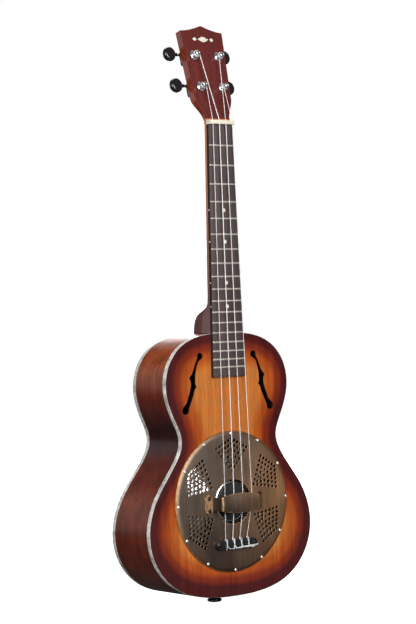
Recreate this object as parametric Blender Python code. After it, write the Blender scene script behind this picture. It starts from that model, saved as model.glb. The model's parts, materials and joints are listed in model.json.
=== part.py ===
"""Tenor resonator ukulele, in metres: +Z up along the neck, the soundboard facing -Y.

The origin is the centre of the flat end of the strap button, at the foot of the body.
"""

import math

import bmesh
import bpy
import numpy as np
from mathutils import Matrix, Vector

mm = 0.001
gap = 0.3 * mm  # between pieces that touch

# Scale and neck
scale_length = 432 * mm
body_fret = 14  # the fret at the neck joint
last_fret = 18
nut_width = 35.5 * mm
nut_length = 5 * mm
nut_height = 8.7 * mm
board_end_width = 47 * mm
board_thickness = 4.5 * mm
board_overhang = 11 * mm  # fretboard past the last fret
neck_depth_nut = 14 * mm
neck_depth_heel = 17 * mm
heel_reach = 26 * mm  # height of the heel over the body
heel_blend = 7 * mm

# Body
tail_reach = 111.2 * mm  # saddle to the foot of the body
tail_depth = 79 * mm
joint_depth = 61 * mm
plate_thickness = 2.6 * mm
side_thickness = 2.2 * mm
binding_height = 6 * mm
binding_thickness = 1.5 * mm
lining_height = 9 * mm
lining_thickness = 4 * mm
block_length = 20 * mm
neck_block_width = 60 * mm
tail_block_width = 50 * mm
brace_height = 9 * mm
brace_thickness = 7 * mm

# Resonator
well_centre_offset = -2.2 * mm  # from the saddle
cone_radius = 76.2 * mm
cone_clearance = 0.6 * mm
cone_height = 19.6 * mm  # foot to the biscuit's seat
cone_wall = 0.9 * mm
cone_bead_width = 2.4 * mm  # the raised ring round the biscuit
cone_bead_height = 3.5 * mm
well_wall = 5.7 * mm
well_ledge = 6.5 * mm
well_depth = 24 * mm  # soundboard front to ledge
well_floor = 4 * mm
biscuit_radius = 20.7 * mm
biscuit_height = 4.6 * mm
saddle_width = 40.4 * mm
saddle_thickness = 3 * mm
saddle_slot = 2.2 * mm

# Sound holes: eyes (x, height over the hole's centre, radius) and the stem's two edges from the top, in mm
sound_hole_centre = -71.4 * mm  # from the neck joint
sound_hole_eyes = ((38.8, 45.4, 4.0), (61.5, -15.3, 4.8))
sound_hole_outer = (
    (41.9, 44.5), (44.3, 40.8), (46.4, 36.5), (48.1, 32.1), (49.9, 27.8), (51.9, 24.7), (53.6, 22.9), (55.3, 21.1),
    (53.8, 19.1), (53.1, 16.5), (52.9, 13.4), (53.7, 9), (55.2, 4.7), (57, 0.3), (58.4, -4), (60.1, -7.7),
    (62.6, -9.4), (63.5, -13.5),
)
sound_hole_inner = (
    (37.5, 43), (39, 40.6), (41.1, 39.4), (42.7, 36.3), (44, 32.6), (45.1, 28.2), (46, 23.8), (46.5, 19.4),
    (46.5, 15.6), (46.1, 13.1), (44.8, 10.7), (46.3, 9), (47.6, 7.4), (48.6, 4.3), (49.8, 0.6), (51.6, -3.1),
    (53.3, -6.8), (55.1, -10.5), (56.8, -14.2), (58.2, -16.6), (59.9, -19),
)

# Coverplate
cover_radius = 81.5 * mm
cover_rise = 3 * mm
cover_sheet = 0.8 * mm
cover_hole = 25.4 * mm
cover_screw_circle = 78.6 * mm
cover_screw_count = 12
kite_tip = 35.6 * mm
kite_side = 65.3 * mm
kite_side_angle = 19.3
kite_top = 72.5 * mm
kite_hole = 1.75 * mm
kite_rows = (1, 2, 3, 3, 4, 5, 6)
kite_angles = (90, 30, -30, 150, 210)

# Hand rest and tie block
rest_centre = -3 * mm  # from the saddle
rest_half_bar = 27.7 * mm
rest_height = 18.5 * mm
rest_sheet = 1.5 * mm
rest_foot_end = 41.8 * mm
rest_foot_width = 23 * mm
rest_bar_width = 22.8 * mm
rest_leg_width = 14.6 * mm
rest_screw_x = 36 * mm
rest_screw_pitch = 14 * mm
tie_length = 58 * mm
tie_width = 10 * mm
tie_height = 5 * mm
tie_centre = -50.5 * mm  # from the saddle
tie_screw_x = 25 * mm
screw_shank = 1.2 * mm
screw_head = 2.3 * mm

# Strings: diameter, place at the nut, saddle and tie block
string_diameters = (0.71 * mm, 1.02 * mm, 0.84 * mm, 0.71 * mm)
nut_spacing = 9.4 * mm
saddle_spacing = 13.1 * mm
tie_spacing = 10.4 * mm
string_over_nut = 8 * mm
string_over_saddle = 12.8 * mm
string_over_tie = 5.9 * mm

# Headstock and tuners
head_pitch = 13.2
head_thickness = 11.5 * mm
head_corner_fullness = 0.06
throat_root = 9 * mm  # how far the headstock's throat runs into the neck
throat_swell = 2.2 * mm  # extra depth of the throat at the nut
head_drop = 1 * mm  # its face behind the soundboard plane at the nut
head_shoulder = (26.3 * mm, 30 * mm)
head_corner = (30 * mm, 109.5 * mm)
head_peak = 116.8 * mm
lower_post = (15.8 * mm, 40.8 * mm)
upper_post = (17.5 * mm, 79 * mm)
post_radius = 3 * mm
post_height = 10 * mm
post_foot_radius = 1.8 * mm
bushing_radius = 5.6 * mm
bushing_wall = 1.1 * mm
bushing_rise = 2.6 * mm
wrap_turns = 3
worm_pitch = 2 * mm
worm_radius = 2 * mm
worm_length = 8 * mm
wheel_teeth = 14
wheel_thickness = 1.8 * mm
tooth_height = 0.45 * mm
tooth_clearance = 0.3 * mm
tuner_depth = 17 * mm  # headstock face to worm axis
housing_wall = 1.4 * mm
shaft_radius = 1.5 * mm
button_reach = 22.3 * mm  # post to button centre
button_half_length = 8.1 * mm
button_half_height = 8.7 * mm
button_thickness = 8 * mm
boss_length = 3 * mm

# Strap button
pin_stand = 10 * mm
pin_head_radius = 8.5 * mm
pin_face_radius = 6 * mm
pin_neck_radius = 4.5 * mm

# Places that follow
tail_z = pin_stand
saddle_z = tail_z + tail_reach
nut_z = saddle_z + scale_length
top_z = saddle_z + scale_length * 2 ** (-body_fret / 12)
body_length = top_z - tail_z
well_z = saddle_z + well_centre_offset
front_y = -tail_depth / 2
taper = (tail_depth - joint_depth) / body_length
well_radius = cone_radius + cone_clearance
wheel_radius = wheel_teeth * worm_pitch / (2 * math.pi)
worm_offset = wheel_radius + worm_radius
around = 64  # points round the body


def clear_scene():
    for thing in list(bpy.data.objects):
        bpy.data.objects.remove(thing, do_unlink=True)


def material(name, colour, roughness, metallic=0.0):
    made = bpy.data.materials.new(name)
    made.use_nodes = True
    shader = made.node_tree.nodes["Principled BSDF"]
    shader.inputs["Base Color"].default_value = (*colour, 1)
    shader.inputs["Roughness"].default_value = roughness
    shader.inputs["Metallic"].default_value = metallic
    made.diffuse_color = (*colour, 1)
    return made


def place(name, bm, finish, parent=None, smooth=True):
    """A bmesh as a named object, round faces shaded smooth."""
    bmesh.ops.remove_doubles(bm, verts=bm.verts, dist=1e-7)
    mesh = bpy.data.meshes.new(name)
    bm.to_mesh(mesh)
    bm.free()
    if smooth:
        mesh.shade_smooth()
        mesh.set_sharp_from_angle(angle=math.radians(35))
    made = bpy.data.objects.new(name, mesh)
    if finish:
        mesh.materials.append(finish)
    bpy.context.scene.collection.objects.link(made)
    made.parent = parent
    return made


def combine(target, other, operation="DIFFERENCE"):
    """A Boolean whose other piece stays in the file as a hidden guide."""
    other.hide_render = True
    other.display_type = "WIRE"
    step = target.modifiers.new(other.name, "BOOLEAN")
    step.operation = operation
    step.object = other
    return target


def prism(outline, low, high, matrix=None):
    """A closed outline of (x, z) points filled between two heights, numbers or functions of z, along y."""
    bm = bmesh.new()
    ends = []
    for height in (low, high):
        ring = []
        for x, z in outline:
            y = height(z) if callable(height) else height
            ring.append(bm.verts.new((x, y, z)))
        ends.append(ring)
    bm.faces.new(ends[0])
    bm.faces.new(reversed(ends[1]))
    count = len(outline)
    for i in range(count):
        j = (i + 1) % count
        bm.faces.new((ends[0][j], ends[0][i], ends[1][i], ends[1][j]))
    bmesh.ops.recalc_face_normals(bm, faces=bm.faces)
    if matrix:
        bmesh.ops.transform(bm, matrix=matrix, verts=bm.verts)
    return bm


def hoop(outer, inner, low, high):
    """A band between two outlines with the same number of points, from low to high along y."""
    bm = bmesh.new()
    rings = []
    for outline, height in ((outer, low), (outer, high), (inner, high), (inner, low)):
        rings.append([bm.verts.new((x, height(z), z)) for x, z in outline])
    count = len(outer)
    for first, second in zip(rings, rings[1:] + rings[:1]):
        for i in range(count):
            j = (i + 1) % count
            bm.faces.new((first[i], first[j], second[j], second[i]))
    bmesh.ops.recalc_face_normals(bm, faces=bm.faces)
    return bm


def turned(profile, steps, matrix=None, closed=False):
    """A profile of (radius, height) points spun round z; closed joins its ends into a ring."""
    bm = bmesh.new()
    verts = [bm.verts.new((r, 0, h)) for r, h in profile]
    edges = [bm.edges.new(pair) for pair in zip(verts, verts[1:])]
    if closed:
        edges.append(bm.edges.new((verts[-1], verts[0])))
    bmesh.ops.spin(bm, geom=verts + edges, axis=(0, 0, 1), cent=(0, 0, 0),
                   angle=math.tau, steps=steps, use_merge=True)
    bmesh.ops.remove_doubles(bm, verts=bm.verts, dist=1e-7)
    bmesh.ops.recalc_face_normals(bm, faces=bm.faces)
    if matrix:
        bmesh.ops.transform(bm, matrix=matrix, verts=bm.verts)
    return bm


def rod(radius, low, high, steps, matrix=None):
    return turned([(0, low), (radius, low), (radius, high), (0, high)], steps, matrix)


def block(low, high, matrix=None):
    """A box between two corners."""
    bm = bmesh.new()
    bmesh.ops.create_cube(bm, size=1)
    size = Vector(high) - Vector(low)
    middle = (Vector(high) + Vector(low)) / 2
    bmesh.ops.scale(bm, vec=size, verts=bm.verts)
    bmesh.ops.translate(bm, vec=middle, verts=bm.verts)
    if matrix:
        bmesh.ops.transform(bm, matrix=matrix, verts=bm.verts)
    return bm


def circle(x, z, radius, count):
    turn = math.tau / count
    return [(x + radius * math.cos(i * turn), z + radius * math.sin(i * turn)) for i in range(count)]


def smooth_loop(points, count):
    """Points at equal steps along a closed cubic spline, with the outward normal at each."""
    p = np.array(points)
    n = len(p)
    step = np.linalg.norm(np.roll(p, -1, axis=0) - p, axis=1)
    before = np.roll(step, 1)
    system = np.zeros((n, n))
    right = np.zeros((n, 2))
    for i in range(n):
        j, k = (i + 1) % n, (i - 1) % n
        system[i, k] += before[i]
        system[i, i] += 2 * (before[i] + step[i])
        system[i, j] += step[i]
        right[i] = 6 * ((p[j] - p[i]) / step[i] - (p[i] - p[k]) / before[i])
    bend = np.linalg.solve(system, right)
    knots = np.concatenate([[0], np.cumsum(step)])
    spots, normals = [], []
    for t in np.linspace(0, knots[-1], count, endpoint=False):
        i = min(int(np.searchsorted(knots, t, side="right")) - 1, n - 1)
        j, h, u = (i + 1) % n, step[i], t - knots[i]
        slope = (p[j] - p[i]) / h - h * (2 * bend[i] + bend[j]) / 6
        spots.append(p[i] + slope * u + bend[i] * u**2 / 2 + (bend[j] - bend[i]) * u**3 / (6 * h))
        way = slope + bend[i] * u + (bend[j] - bend[i]) * u**2 / (2 * h)
        normals.append(np.array([way[1], -way[0]]) / np.linalg.norm(way))
    return np.array(spots), np.array(normals)


# Right half of the body's outline: x, and height over the foot, the saddle or the neck joint
foot_outline = ((44 * mm, 3 * mm), (80 * mm, 15.2 * mm))
bridge_outline = ((108 * mm, -68.1 * mm), (117.4 * mm, -31.6 * mm), (108 * mm, 3.9 * mm), (82.5 * mm, 40.9 * mm),
                  (68.9 * mm, 71 * mm))
joint_outline = ((77.6 * mm, -96.8 * mm), (88.5 * mm, -60.4 * mm), (82.6 * mm, -33.7 * mm),
                 (64.6 * mm, -13.4 * mm), (32 * mm, -1.8 * mm))


def body_loop(inset=0.0):
    """The body's outline moved inwards, counter-clockwise from the tail."""
    stretches = ((tail_z, foot_outline), (saddle_z, bridge_outline), (top_z, joint_outline))
    half = [(x, level + z) for level, stretch in stretches for x, z in stretch]
    points = [(0, tail_z), *half, (0, top_z), *[(-x, z) for x, z in reversed(half)]]
    spots, normals = smooth_loop(points, around)
    return [tuple(spot - normal * inset) for spot, normal in zip(spots, normals)]


def front(depth=0.0):
    """The plane this far behind the soundboard's face."""
    return lambda z: front_y + depth


def back(depth=0.0):
    """The plane this far in front of the back's outer face."""
    return lambda z: front_y + tail_depth - taper * (z - tail_z) - depth


def facing(x, z, height=0.0):
    """Turns a piece made along z so that its top faces forwards at this height over the soundboard."""
    return Matrix.Translation((x, front_y - height, z)) @ Matrix.Rotation(math.radians(90), 4, "X")


def f_hole(side):
    """A sound hole's outline: two eyes and a waisted stem with a nick on each edge."""
    level = top_z + sound_hole_centre
    pieces = []
    for x, z, radius in sound_hole_eyes:
        pieces.append(circle(side * x * mm, level + z * mm, radius * mm, 16))
    stem = sound_hole_outer + tuple(reversed(sound_hole_inner))
    pieces.append([(side * x * mm, level + z * mm) for x, z in stem])
    return pieces


def build_body(wood, rim_wood, inner_wood, trim):
    under = plate_thickness + gap
    inset = binding_thickness + gap
    board = place("soundboard", prism(body_loop(inset), front(), front(plate_thickness)), wood)
    opening = rod(well_radius, -10 * mm, 10 * mm, 60, facing(0, well_z))
    combine(board, place("guide_well_opening", opening, None))
    for side, label in ((-1, "left"), (1, "right")):
        for i, outline in enumerate(f_hole(side)):
            cutter = prism(outline, front(-5 * mm), front(8 * mm))
            combine(board, place(f"guide_f_{label}_{i}", cutter, None))
    place("back", prism(body_loop(inset), back(), back(plate_thickness)), rim_wood)
    edge = body_loop()
    within = body_loop(binding_thickness)
    place("front_binding", hoop(edge, within, front(), front(binding_height)), trim)
    place("back_binding", hoop(edge, within, back(), back(binding_height)), trim)
    wall = body_loop(side_thickness)
    sides = hoop(edge, wall, front(binding_height + gap), back(binding_height + gap))
    place("rim", sides, rim_wood)
    outer = body_loop(side_thickness + gap)
    inner = body_loop(side_thickness + gap + lining_thickness)
    place("front_lining", hoop(outer, inner, front(under), front(under + lining_height)), inner_wood)
    place("back_lining", hoop(outer, inner, back(under), back(under + lining_height)), inner_wood)
    room = body_loop(side_thickness + 2 * gap + lining_thickness)
    blocks = (
        ("neck_block", neck_block_width, top_z - side_thickness - lining_thickness - block_length, 1),
        ("tail_block", tail_block_width, tail_z + side_thickness + lining_thickness + block_length, -1),
    )
    for name, width, line, way in blocks:
        kept = [(x, z) for x, z in room if abs(x) < width / 2 and way * (z - line) > 0]
        kept.sort(key=lambda spot: way * spot[0])
        ends = [(kept[-1][0], line), (kept[0][0], line)]
        place(name, prism([*kept, *ends], front(under), back(under)), inner_wood)
    beam_z = well_z
    reach = min(x for x, z in room if x > 0 and abs(z - beam_z) < 30 * mm) - 2 * mm
    slab = ((-reach, beam_z - brace_thickness / 2), (reach, beam_z - brace_thickness / 2),
            (reach, beam_z + brace_thickness / 2), (-reach, beam_z + brace_thickness / 2))
    place("back_brace", prism(slab, back(under + brace_height), back(under)), inner_wood)


def build_resonator(inner_wood, spun, ebony, bone, steel):
    outer = well_radius + well_wall
    ledge_edge = well_radius - well_ledge
    top = -(plate_thickness + gap)
    ledge = -well_depth
    profile = [(well_radius, top), (outer, top), (outer, ledge - well_floor),
               (ledge_edge, ledge - well_floor), (ledge_edge, ledge), (well_radius, ledge)]
    place("sound_well", turned(profile, 48, facing(0, well_z), closed=True), inner_wood)
    rim = ledge + gap
    crown = rim + cone_height
    lip = ledge_edge + 1 * mm
    screw_way = screw_shank + gap
    bead_inner = biscuit_radius + 2 * gap
    bead_outer = bead_inner + cone_bead_width
    crest = crown + cone_bead_height
    hollow = bead_inner + cone_wall
    profile = [(screw_way, crown), (bead_inner, crown), (bead_inner, crest), (bead_outer, crest),
               (lip, rim + cone_wall), (cone_radius, rim + cone_wall), (cone_radius, rim), (lip - 1 * mm, rim),
               (bead_outer - cone_wall / 2, crest - cone_wall), (hollow, crest - cone_wall),
               (hollow, crown - cone_wall), (screw_way, crown - cone_wall)]
    place("cone", turned(profile, 40, facing(0, well_z), closed=True), spun)
    seat = crown + gap
    biscuit = place("biscuit", rod(biscuit_radius, seat, seat + biscuit_height, 32, facing(0, well_z)), ebony)
    slot_floor = seat + biscuit_height - saddle_slot
    half_slot = saddle_thickness / 2 + gap
    slot = block((-30 * mm, front_y - 30 * mm, saddle_z - half_slot),
                 (30 * mm, front_y - slot_floor, saddle_z + half_slot))
    combine(biscuit, place("guide_saddle_slot", slot, None))
    pilot = rod(screw_way, seat - 5 * mm, slot_floor - 0.6 * mm, 12, facing(0, well_z))
    combine(biscuit, place("guide_biscuit_pilot", pilot, None))
    head = crown - cone_wall - gap
    profile = [(0, head - 2 * mm), (screw_head + 1 * mm, head - 2 * mm), (screw_head + 1 * mm, head),
               (screw_shank, head), (screw_shank, slot_floor - 1 * mm), (0, slot_floor - 1 * mm)]
    place("biscuit_screw", turned(profile, 12, facing(0, well_z)), steel)
    crest = string_over_saddle - max(string_diameters) / 2 - gap
    blade = block((-saddle_width / 2, front_y - crest, saddle_z - saddle_thickness / 2),
                  (saddle_width / 2, front_y - slot_floor - gap, saddle_z + saddle_thickness / 2))
    place("saddle", blade, bone)


def kite_holes():
    """Centres of the perforations: rows across each kite, parallel to its two outer edges."""
    tip = Vector((kite_tip, 0))
    top = Vector((kite_top, 0))
    swing = math.radians(kite_side_angle)
    side = Vector((kite_side * math.cos(swing), kite_side * math.sin(swing)))
    spots = []
    for row, count in enumerate(kite_rows):
        share = row / (len(kite_rows) - 1)
        middle, end = tip.lerp(top, share), tip.lerp(side, share)
        for i in range(count):
            spot = middle.lerp(end, i / max(count - 1, 1))
            spots.append(spot)
            if i:
                spots.append(Vector((spot.x, -spot.y)))
    centres = []
    for angle in kite_angles:
        turn = math.radians(angle)
        for spot in spots:
            x = spot.x * math.cos(turn) - spot.y * math.sin(turn)
            z = spot.x * math.sin(turn) + spot.y * math.cos(turn)
            centres.append((x, well_z + z))
    return centres


def build_cover(brass, dark_screw, black):
    flat, under = cover_rise, cover_rise - cover_sheet
    flat_edge = cover_screw_circle - 2.6 * mm
    profile = [(cover_hole, flat), (flat_edge, flat), (flat_edge + 3 * mm, flat - 0.7 * mm), (cover_radius, gap),
               (cover_radius - cover_sheet, gap), (flat_edge + 2.4 * mm, under - 0.7 * mm),
               (flat_edge - 0.2 * mm, under), (cover_hole, under)]
    cover = place("coverplate", turned(profile, 60, facing(0, well_z), closed=True), brass)
    centres = kite_holes()
    holes = bmesh.new()
    for x, z in centres:
        bmesh.ops.create_cone(holes, cap_ends=True, segments=5, radius1=kite_hole, radius2=kite_hole,
                              depth=6 * mm, matrix=facing(x, z, cover_rise))
    for i in range(cover_screw_count):
        turn = math.tau * i / cover_screw_count
        spot = facing(cover_screw_circle * math.sin(turn), well_z + cover_screw_circle * math.cos(turn), cover_rise)
        bmesh.ops.create_cone(holes, cap_ends=True, segments=6, radius1=1.1 * mm, radius2=1.1 * mm,
                              depth=8 * mm, matrix=spot)
    rest_z = saddle_z + rest_centre
    bore = screw_shank + gap
    seats = [(x, rest_z + z) for x in (-rest_screw_x, rest_screw_x)
             for z in (-rest_screw_pitch / 2, rest_screw_pitch / 2)]
    ties = [(x, saddle_z + tie_centre) for x in (-tie_screw_x, tie_screw_x)]
    for x, z in seats + ties:
        bmesh.ops.create_cone(holes, cap_ends=True, segments=10, radius1=bore, radius2=bore,
                              depth=8 * mm, matrix=facing(x, z, cover_rise))
    combine(cover, place("guide_cover_holes", holes, None))
    build_hand_rest(brass, dark_screw, seats, rest_z)
    build_tie_block(black, dark_screw, ties)


def build_hand_rest(brass, dark_screw, seats, rest_z):
    base = cover_rise + gap
    knee = rest_half_bar
    lean = 3.2 * mm
    upper = [(-rest_foot_end, base + rest_sheet), (-knee - lean - rest_sheet, base + rest_sheet),
             (-knee - rest_sheet * 0.4, rest_height - 1.5 * mm), (-knee + 1.5 * mm, rest_height)]
    lower = [(-rest_foot_end, base), (-knee - lean, base), (-knee + rest_sheet * 0.7, rest_height - rest_sheet)]
    strip = upper + [(-x, h) for x, h in reversed(upper)] + [(-x, h) for x, h in lower]
    strip += list(reversed(lower))
    half = rest_foot_width / 2
    turn = Matrix.Translation((0, front_y, rest_z)) @ Matrix(
        ((1, 0, 0, 0), (0, 0, -1, 0), (0, 1, 0, 0), (0, 0, 0, 1)))
    rest = place("hand_rest", prism(strip, -half, half, turn), brass)
    quarter = [(0, rest_bar_width / 2), (14 * mm, rest_bar_width / 2 - 0.6 * mm), (knee, rest_leg_width / 2),
               (knee + lean, rest_leg_width / 2 + 0.6 * mm), (knee + lean + 3 * mm, half - 0.6 * mm),
               (rest_foot_end - 6 * mm, half), (rest_foot_end - 1.6 * mm, half - 2 * mm),
               (rest_foot_end, half - 6 * mm)]
    plan = [(x, z) for x, z in reversed(quarter)] + [(-x, z) for x, z in quarter[1:]]
    plan += [(-x, -z) for x, z in reversed(quarter)] + [(x, -z) for x, z in quarter[1:]]
    plan = [(x, rest_z + z) for x, z in plan]
    shape = prism(plan, front(-30 * mm), front(5 * mm))
    combine(rest, place("guide_rest_plan", shape, None), "INTERSECT")
    bore = screw_shank + gap
    for i, (x, z) in enumerate(seats):
        combine(rest, place(f"guide_rest_bore_{i}", rod(bore, 0, 9 * mm, 10, facing(x, z)), None))
        add_screw(f"hand_rest_screw_{i + 1}", x, z, base + rest_sheet, dark_screw)


def add_screw(name, x, z, seat, finish):
    """A round-head screw standing on a seat this high over the soundboard."""
    head = seat + gap
    profile = [(0, -3 * mm), (screw_shank, -3 * mm), (screw_shank, head), (screw_head, head),
               (screw_head, head + 0.5 * mm), (screw_head * 0.7, head + 1.2 * mm), (0, head + 1.4 * mm)]
    place(name, turned(profile, 12, facing(x, z)), finish)


def build_tie_block(black, dark_screw, ties):
    base = cover_rise + gap
    z = saddle_z + tie_centre
    half = tie_width / 2
    end = tie_length / 2 - half
    arc = [(end + half * math.cos(a), z + half * math.sin(a)) for a in np.linspace(-math.pi / 2, math.pi / 2, 9)]
    outline = arc + [(-x, spot) for x, spot in reversed(arc)]
    tie = place("tie_block", prism(outline, front(-base - tie_height), front(-base)), black)
    for x, spot in ties:
        bore = rod(screw_shank + gap, 0, 12 * mm, 10, facing(x, spot))
        combine(tie, place(f"guide_tie_bore_{x > 0}", bore, None))
    for i, diameter in enumerate(string_diameters):
        spot = Matrix.Translation((string_x(i, tie_spacing), front_y - string_over_tie, z))
        bore = rod(diameter / 2 + gap, -8 * mm, 8 * mm, 8, spot)
        combine(tie, place(f"guide_string_bore_{i}", bore, None))
    for i, (x, spot) in enumerate(ties):
        add_screw(f"tie_block_screw_{i + 1}", x, spot, base + tie_height, dark_screw)


def string_x(index, spacing):
    return (index - 1.5) * spacing


def neck_share(z):
    """0 at the nut, 1 at the body."""
    return (nut_z - z) / (nut_z - top_z)


def board_half_width(z):
    end_z = saddle_z + scale_length * 2 ** (-last_fret / 12) - board_overhang
    return (nut_width + (board_end_width - nut_width) * (nut_z - z) / (nut_z - end_z)) / 2


def head_frame():
    """Headstock face: x across, y along it to its tip, z out of its face."""
    lean = math.radians(head_pitch)
    along = Vector((0, math.sin(lean), math.cos(lean)))
    out = Vector((0, -math.cos(lean), math.sin(lean)))
    spot = Vector((0, front_y + head_drop, nut_z + nut_length))
    return Matrix(((1, along.x, out.x, spot.x), (0, along.y, out.y, spot.y),
                   (0, along.z, out.z, spot.z), (0, 0, 0, 1)))


def lofted(rows):
    """A closed body through rows of points, each row an arch whose feet are joined by a flat."""
    bm = bmesh.new()
    rings = [[bm.verts.new(spot) for spot in row] for row in rows]
    for low, high in zip(rings, rings[1:]):
        for i in range(len(low)):
            j = (i + 1) % len(low)
            bm.faces.new((low[i], low[j], high[j], high[i]))
    bm.faces.new(rings[0])
    bm.faces.new(rings[-1])
    bmesh.ops.recalc_face_normals(bm, faces=bm.faces)
    return bm


def arch(half_width, depth, fullness, steps=16):
    """Half an ellipse below the x axis; a fullness near 0 fills its corners out to a rectangle."""
    spots = []
    for i in range(steps + 1):
        a = math.pi * i / steps
        x = math.copysign(abs(math.cos(a)) ** fullness, math.cos(a))
        spots.append((half_width * x, depth * max(math.sin(a), 0) ** fullness))
    return spots


def head_rows():
    """The headstock from its round throat at the nut, past the shoulders to the pointed crown."""
    x1, s1 = head_shoulder
    x2, s2 = head_corner
    stations = []
    for s in np.linspace(-throat_root, s1, 9):
        share = max(s / s1, 0)
        ease = share**2 * (3 - 2 * share)
        sweep = (1 - math.cos(math.pi * share)) / 2
        stations.append((nut_width / 2 + (x1 - nut_width / 2) * sweep, s,
                         head_thickness + throat_swell * (1 - ease), 1 - (1 - head_corner_fullness) * ease))
    for share in (1, 0.85, 0.7, 0.55, 0.4, 0.25, 0.12, 0.03):
        stations.append((x2 * share, s2 + (head_peak - s2) * (1 - share) ** 1.7, head_thickness,
                         head_corner_fullness))
    frame = head_frame()
    return [[frame @ Vector((x, s, -y)) for x, y in arch(half, deep, fullness)]
            for half, s, deep, fullness in stations]


def build_neck(wood):
    """Shaft and heel as D-shaped sections from the body to the nut, with the headstock joined on."""
    rows = []
    heel_top = top_z + heel_reach
    heights = [top_z + gap, top_z + 8 * mm, top_z + 14 * mm, heel_top - 7 * mm, heel_top - 3 * mm, heel_top,
               heel_top + 3 * mm, heel_top + heel_blend, heel_top + 2 * heel_blend, heel_top + 50 * mm,
               heel_top + 110 * mm, nut_z - 12 * mm, nut_z + nut_length + 2 * mm]
    surface = front_y + gap
    full = joint_depth - 3 * mm
    for z in heights:
        share = neck_share(z)
        plain = neck_depth_nut + (neck_depth_heel - neck_depth_nut) * share
        rise = 1 / (1 + math.exp((z - heel_top) / (0.32 * heel_blend)))
        deep = plain + (full - plain) * rise * (1 - 0.25 * ((z - top_z) / heel_reach) ** 2 * rise)
        section = arch(board_half_width(z), deep, 1 - 0.2 * rise)
        rows.append([(x * (1 - 0.45 * rise * y / full), surface + y, z) for x, y in section])
    neck = place("neck", lofted(rows), wood)
    combine(neck, place("guide_headstock", lofted(head_rows()), wood), "UNION")
    seat_end = nut_z + nut_length + gap
    seat = block((-60 * mm, front_y - 40 * mm, nut_z - 60 * mm), (60 * mm, front_y + gap, seat_end))
    combine(neck, place("guide_nut_seat", seat, None))
    bore = bushing_radius - bushing_wall + 2 * gap
    for i, (side, (x, s)) in enumerate(tuner_places()):
        spot = head_frame() @ Matrix.Translation((side * x, s, 0))
        hole = rod(bore, -30 * mm, 20 * mm, 16, spot)
        combine(neck, place(f"guide_tuner_bore_{i + 1}", hole, None))


def build_board(rosewood, bone):
    end_z = saddle_z + scale_length * 2 ** (-last_fret / 12) - board_overhang
    low, high = board_half_width(end_z), board_half_width(nut_z)
    outline = [(-low, end_z), (low, end_z), (high, nut_z - gap), (-high, nut_z - gap)]
    top = board_thickness
    place("fretboard", prism(outline, front(-top), front(-gap)), rosewood, smooth=False)
    half = nut_width / 2
    crown = [(0, gap), (nut_length, gap), (nut_length, nut_height - 1.4 * mm), (nut_length - 1.2 * mm, nut_height - 0.3 * mm),
             (1.2 * mm, nut_height), (0, nut_height - 0.6 * mm)]
    turn = Matrix(((0, 1, 0, 0), (0, 0, -1, front_y), (1, 0, 0, nut_z), (0, 0, 0, 1)))
    nut = place("nut", prism(crown, -half, half, turn), bone)
    for i, diameter in enumerate(string_diameters):
        x = string_x(i, nut_spacing)
        wide = diameter / 2 + gap
        floor = front_y - string_over_nut + wide
        slot = block((x - wide, front_y - 20 * mm, nut_z - 5 * mm), (x + wide, floor + 0.6 * mm, nut_z + 12 * mm))
        combine(nut, place(f"guide_nut_slot_{i}", slot, None))


def tuner_places():
    """Side and post place for strings 1 to 4: the outer strings go to the lower posts."""
    return ((-1, lower_post), (-1, upper_post), (1, upper_post), (1, lower_post))


def empty(name, matrix):
    made = bpy.data.objects.new(name, None)
    made.matrix_world = matrix
    bpy.context.scene.collection.objects.link(made)
    return made


def worm_mesh(side):
    """A single-start thread with its shaft; x runs outwards from the housing's middle before the turn."""
    sides, steps = 10, 12
    bm = bmesh.new()
    rings = []
    root, crest = worm_radius - tooth_height - 0.2 * mm, worm_radius + tooth_height
    for j in range(steps + 1):
        x = worm_length * (j / steps - 0.5)
        ring = []
        for i in range(sides):
            a = math.tau * i / sides
            wave = math.cos(math.tau * (x / worm_pitch) - (a - math.pi))
            edge = min(j, steps - j) > 0
            r = root + (crest - root) * max(0.0, (wave - 0.25) / 0.75) if edge else root
            ring.append(bm.verts.new((x, r * math.cos(a), r * math.sin(a))))
        rings.append(ring)
    for low, high in zip(rings, rings[1:]):
        for i in range(sides):
            j = (i + 1) % sides
            bm.faces.new((low[i], low[j], high[j]))
            bm.faces.new((low[i], high[j], high[i]))
    bm.faces.new(rings[0])
    bm.faces.new(rings[-1])
    reach = button_reach - button_half_length - boss_length - gap
    cap = [face for face in bm.faces if len(face.verts) > 3 and side * face.calc_center_median().x > 0]
    grown = bmesh.ops.extrude_face_region(bm, geom=cap)
    verts = [v for v in grown["geom"] if isinstance(v, bmesh.types.BMVert)]
    for vert in verts:
        vert.co.x = side * reach
    bmesh.ops.delete(bm, geom=cap, context="FACES")
    bmesh.ops.recalc_face_normals(bm, faces=bm.faces)
    return bm


def wheel_outline():
    """A gear of straight flanks, with a gap towards the worm."""
    outline = []
    for tooth in range(wheel_teeth):
        turn = math.tau * (tooth + 0.5) / wheel_teeth + math.pi / 2
        foot = worm_pitch * 0.24 / wheel_radius
        crest = worm_pitch * 0.11 / wheel_radius
        root, tip = wheel_radius - tooth_height - tooth_clearance, wheel_radius + tooth_height - 0.1 * mm
        for angle, r in ((-foot, root), (-crest, tip), (crest, tip), (foot, root)):
            outline.append((r * math.cos(turn + angle), r * math.sin(turn + angle)))
    return outline


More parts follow.
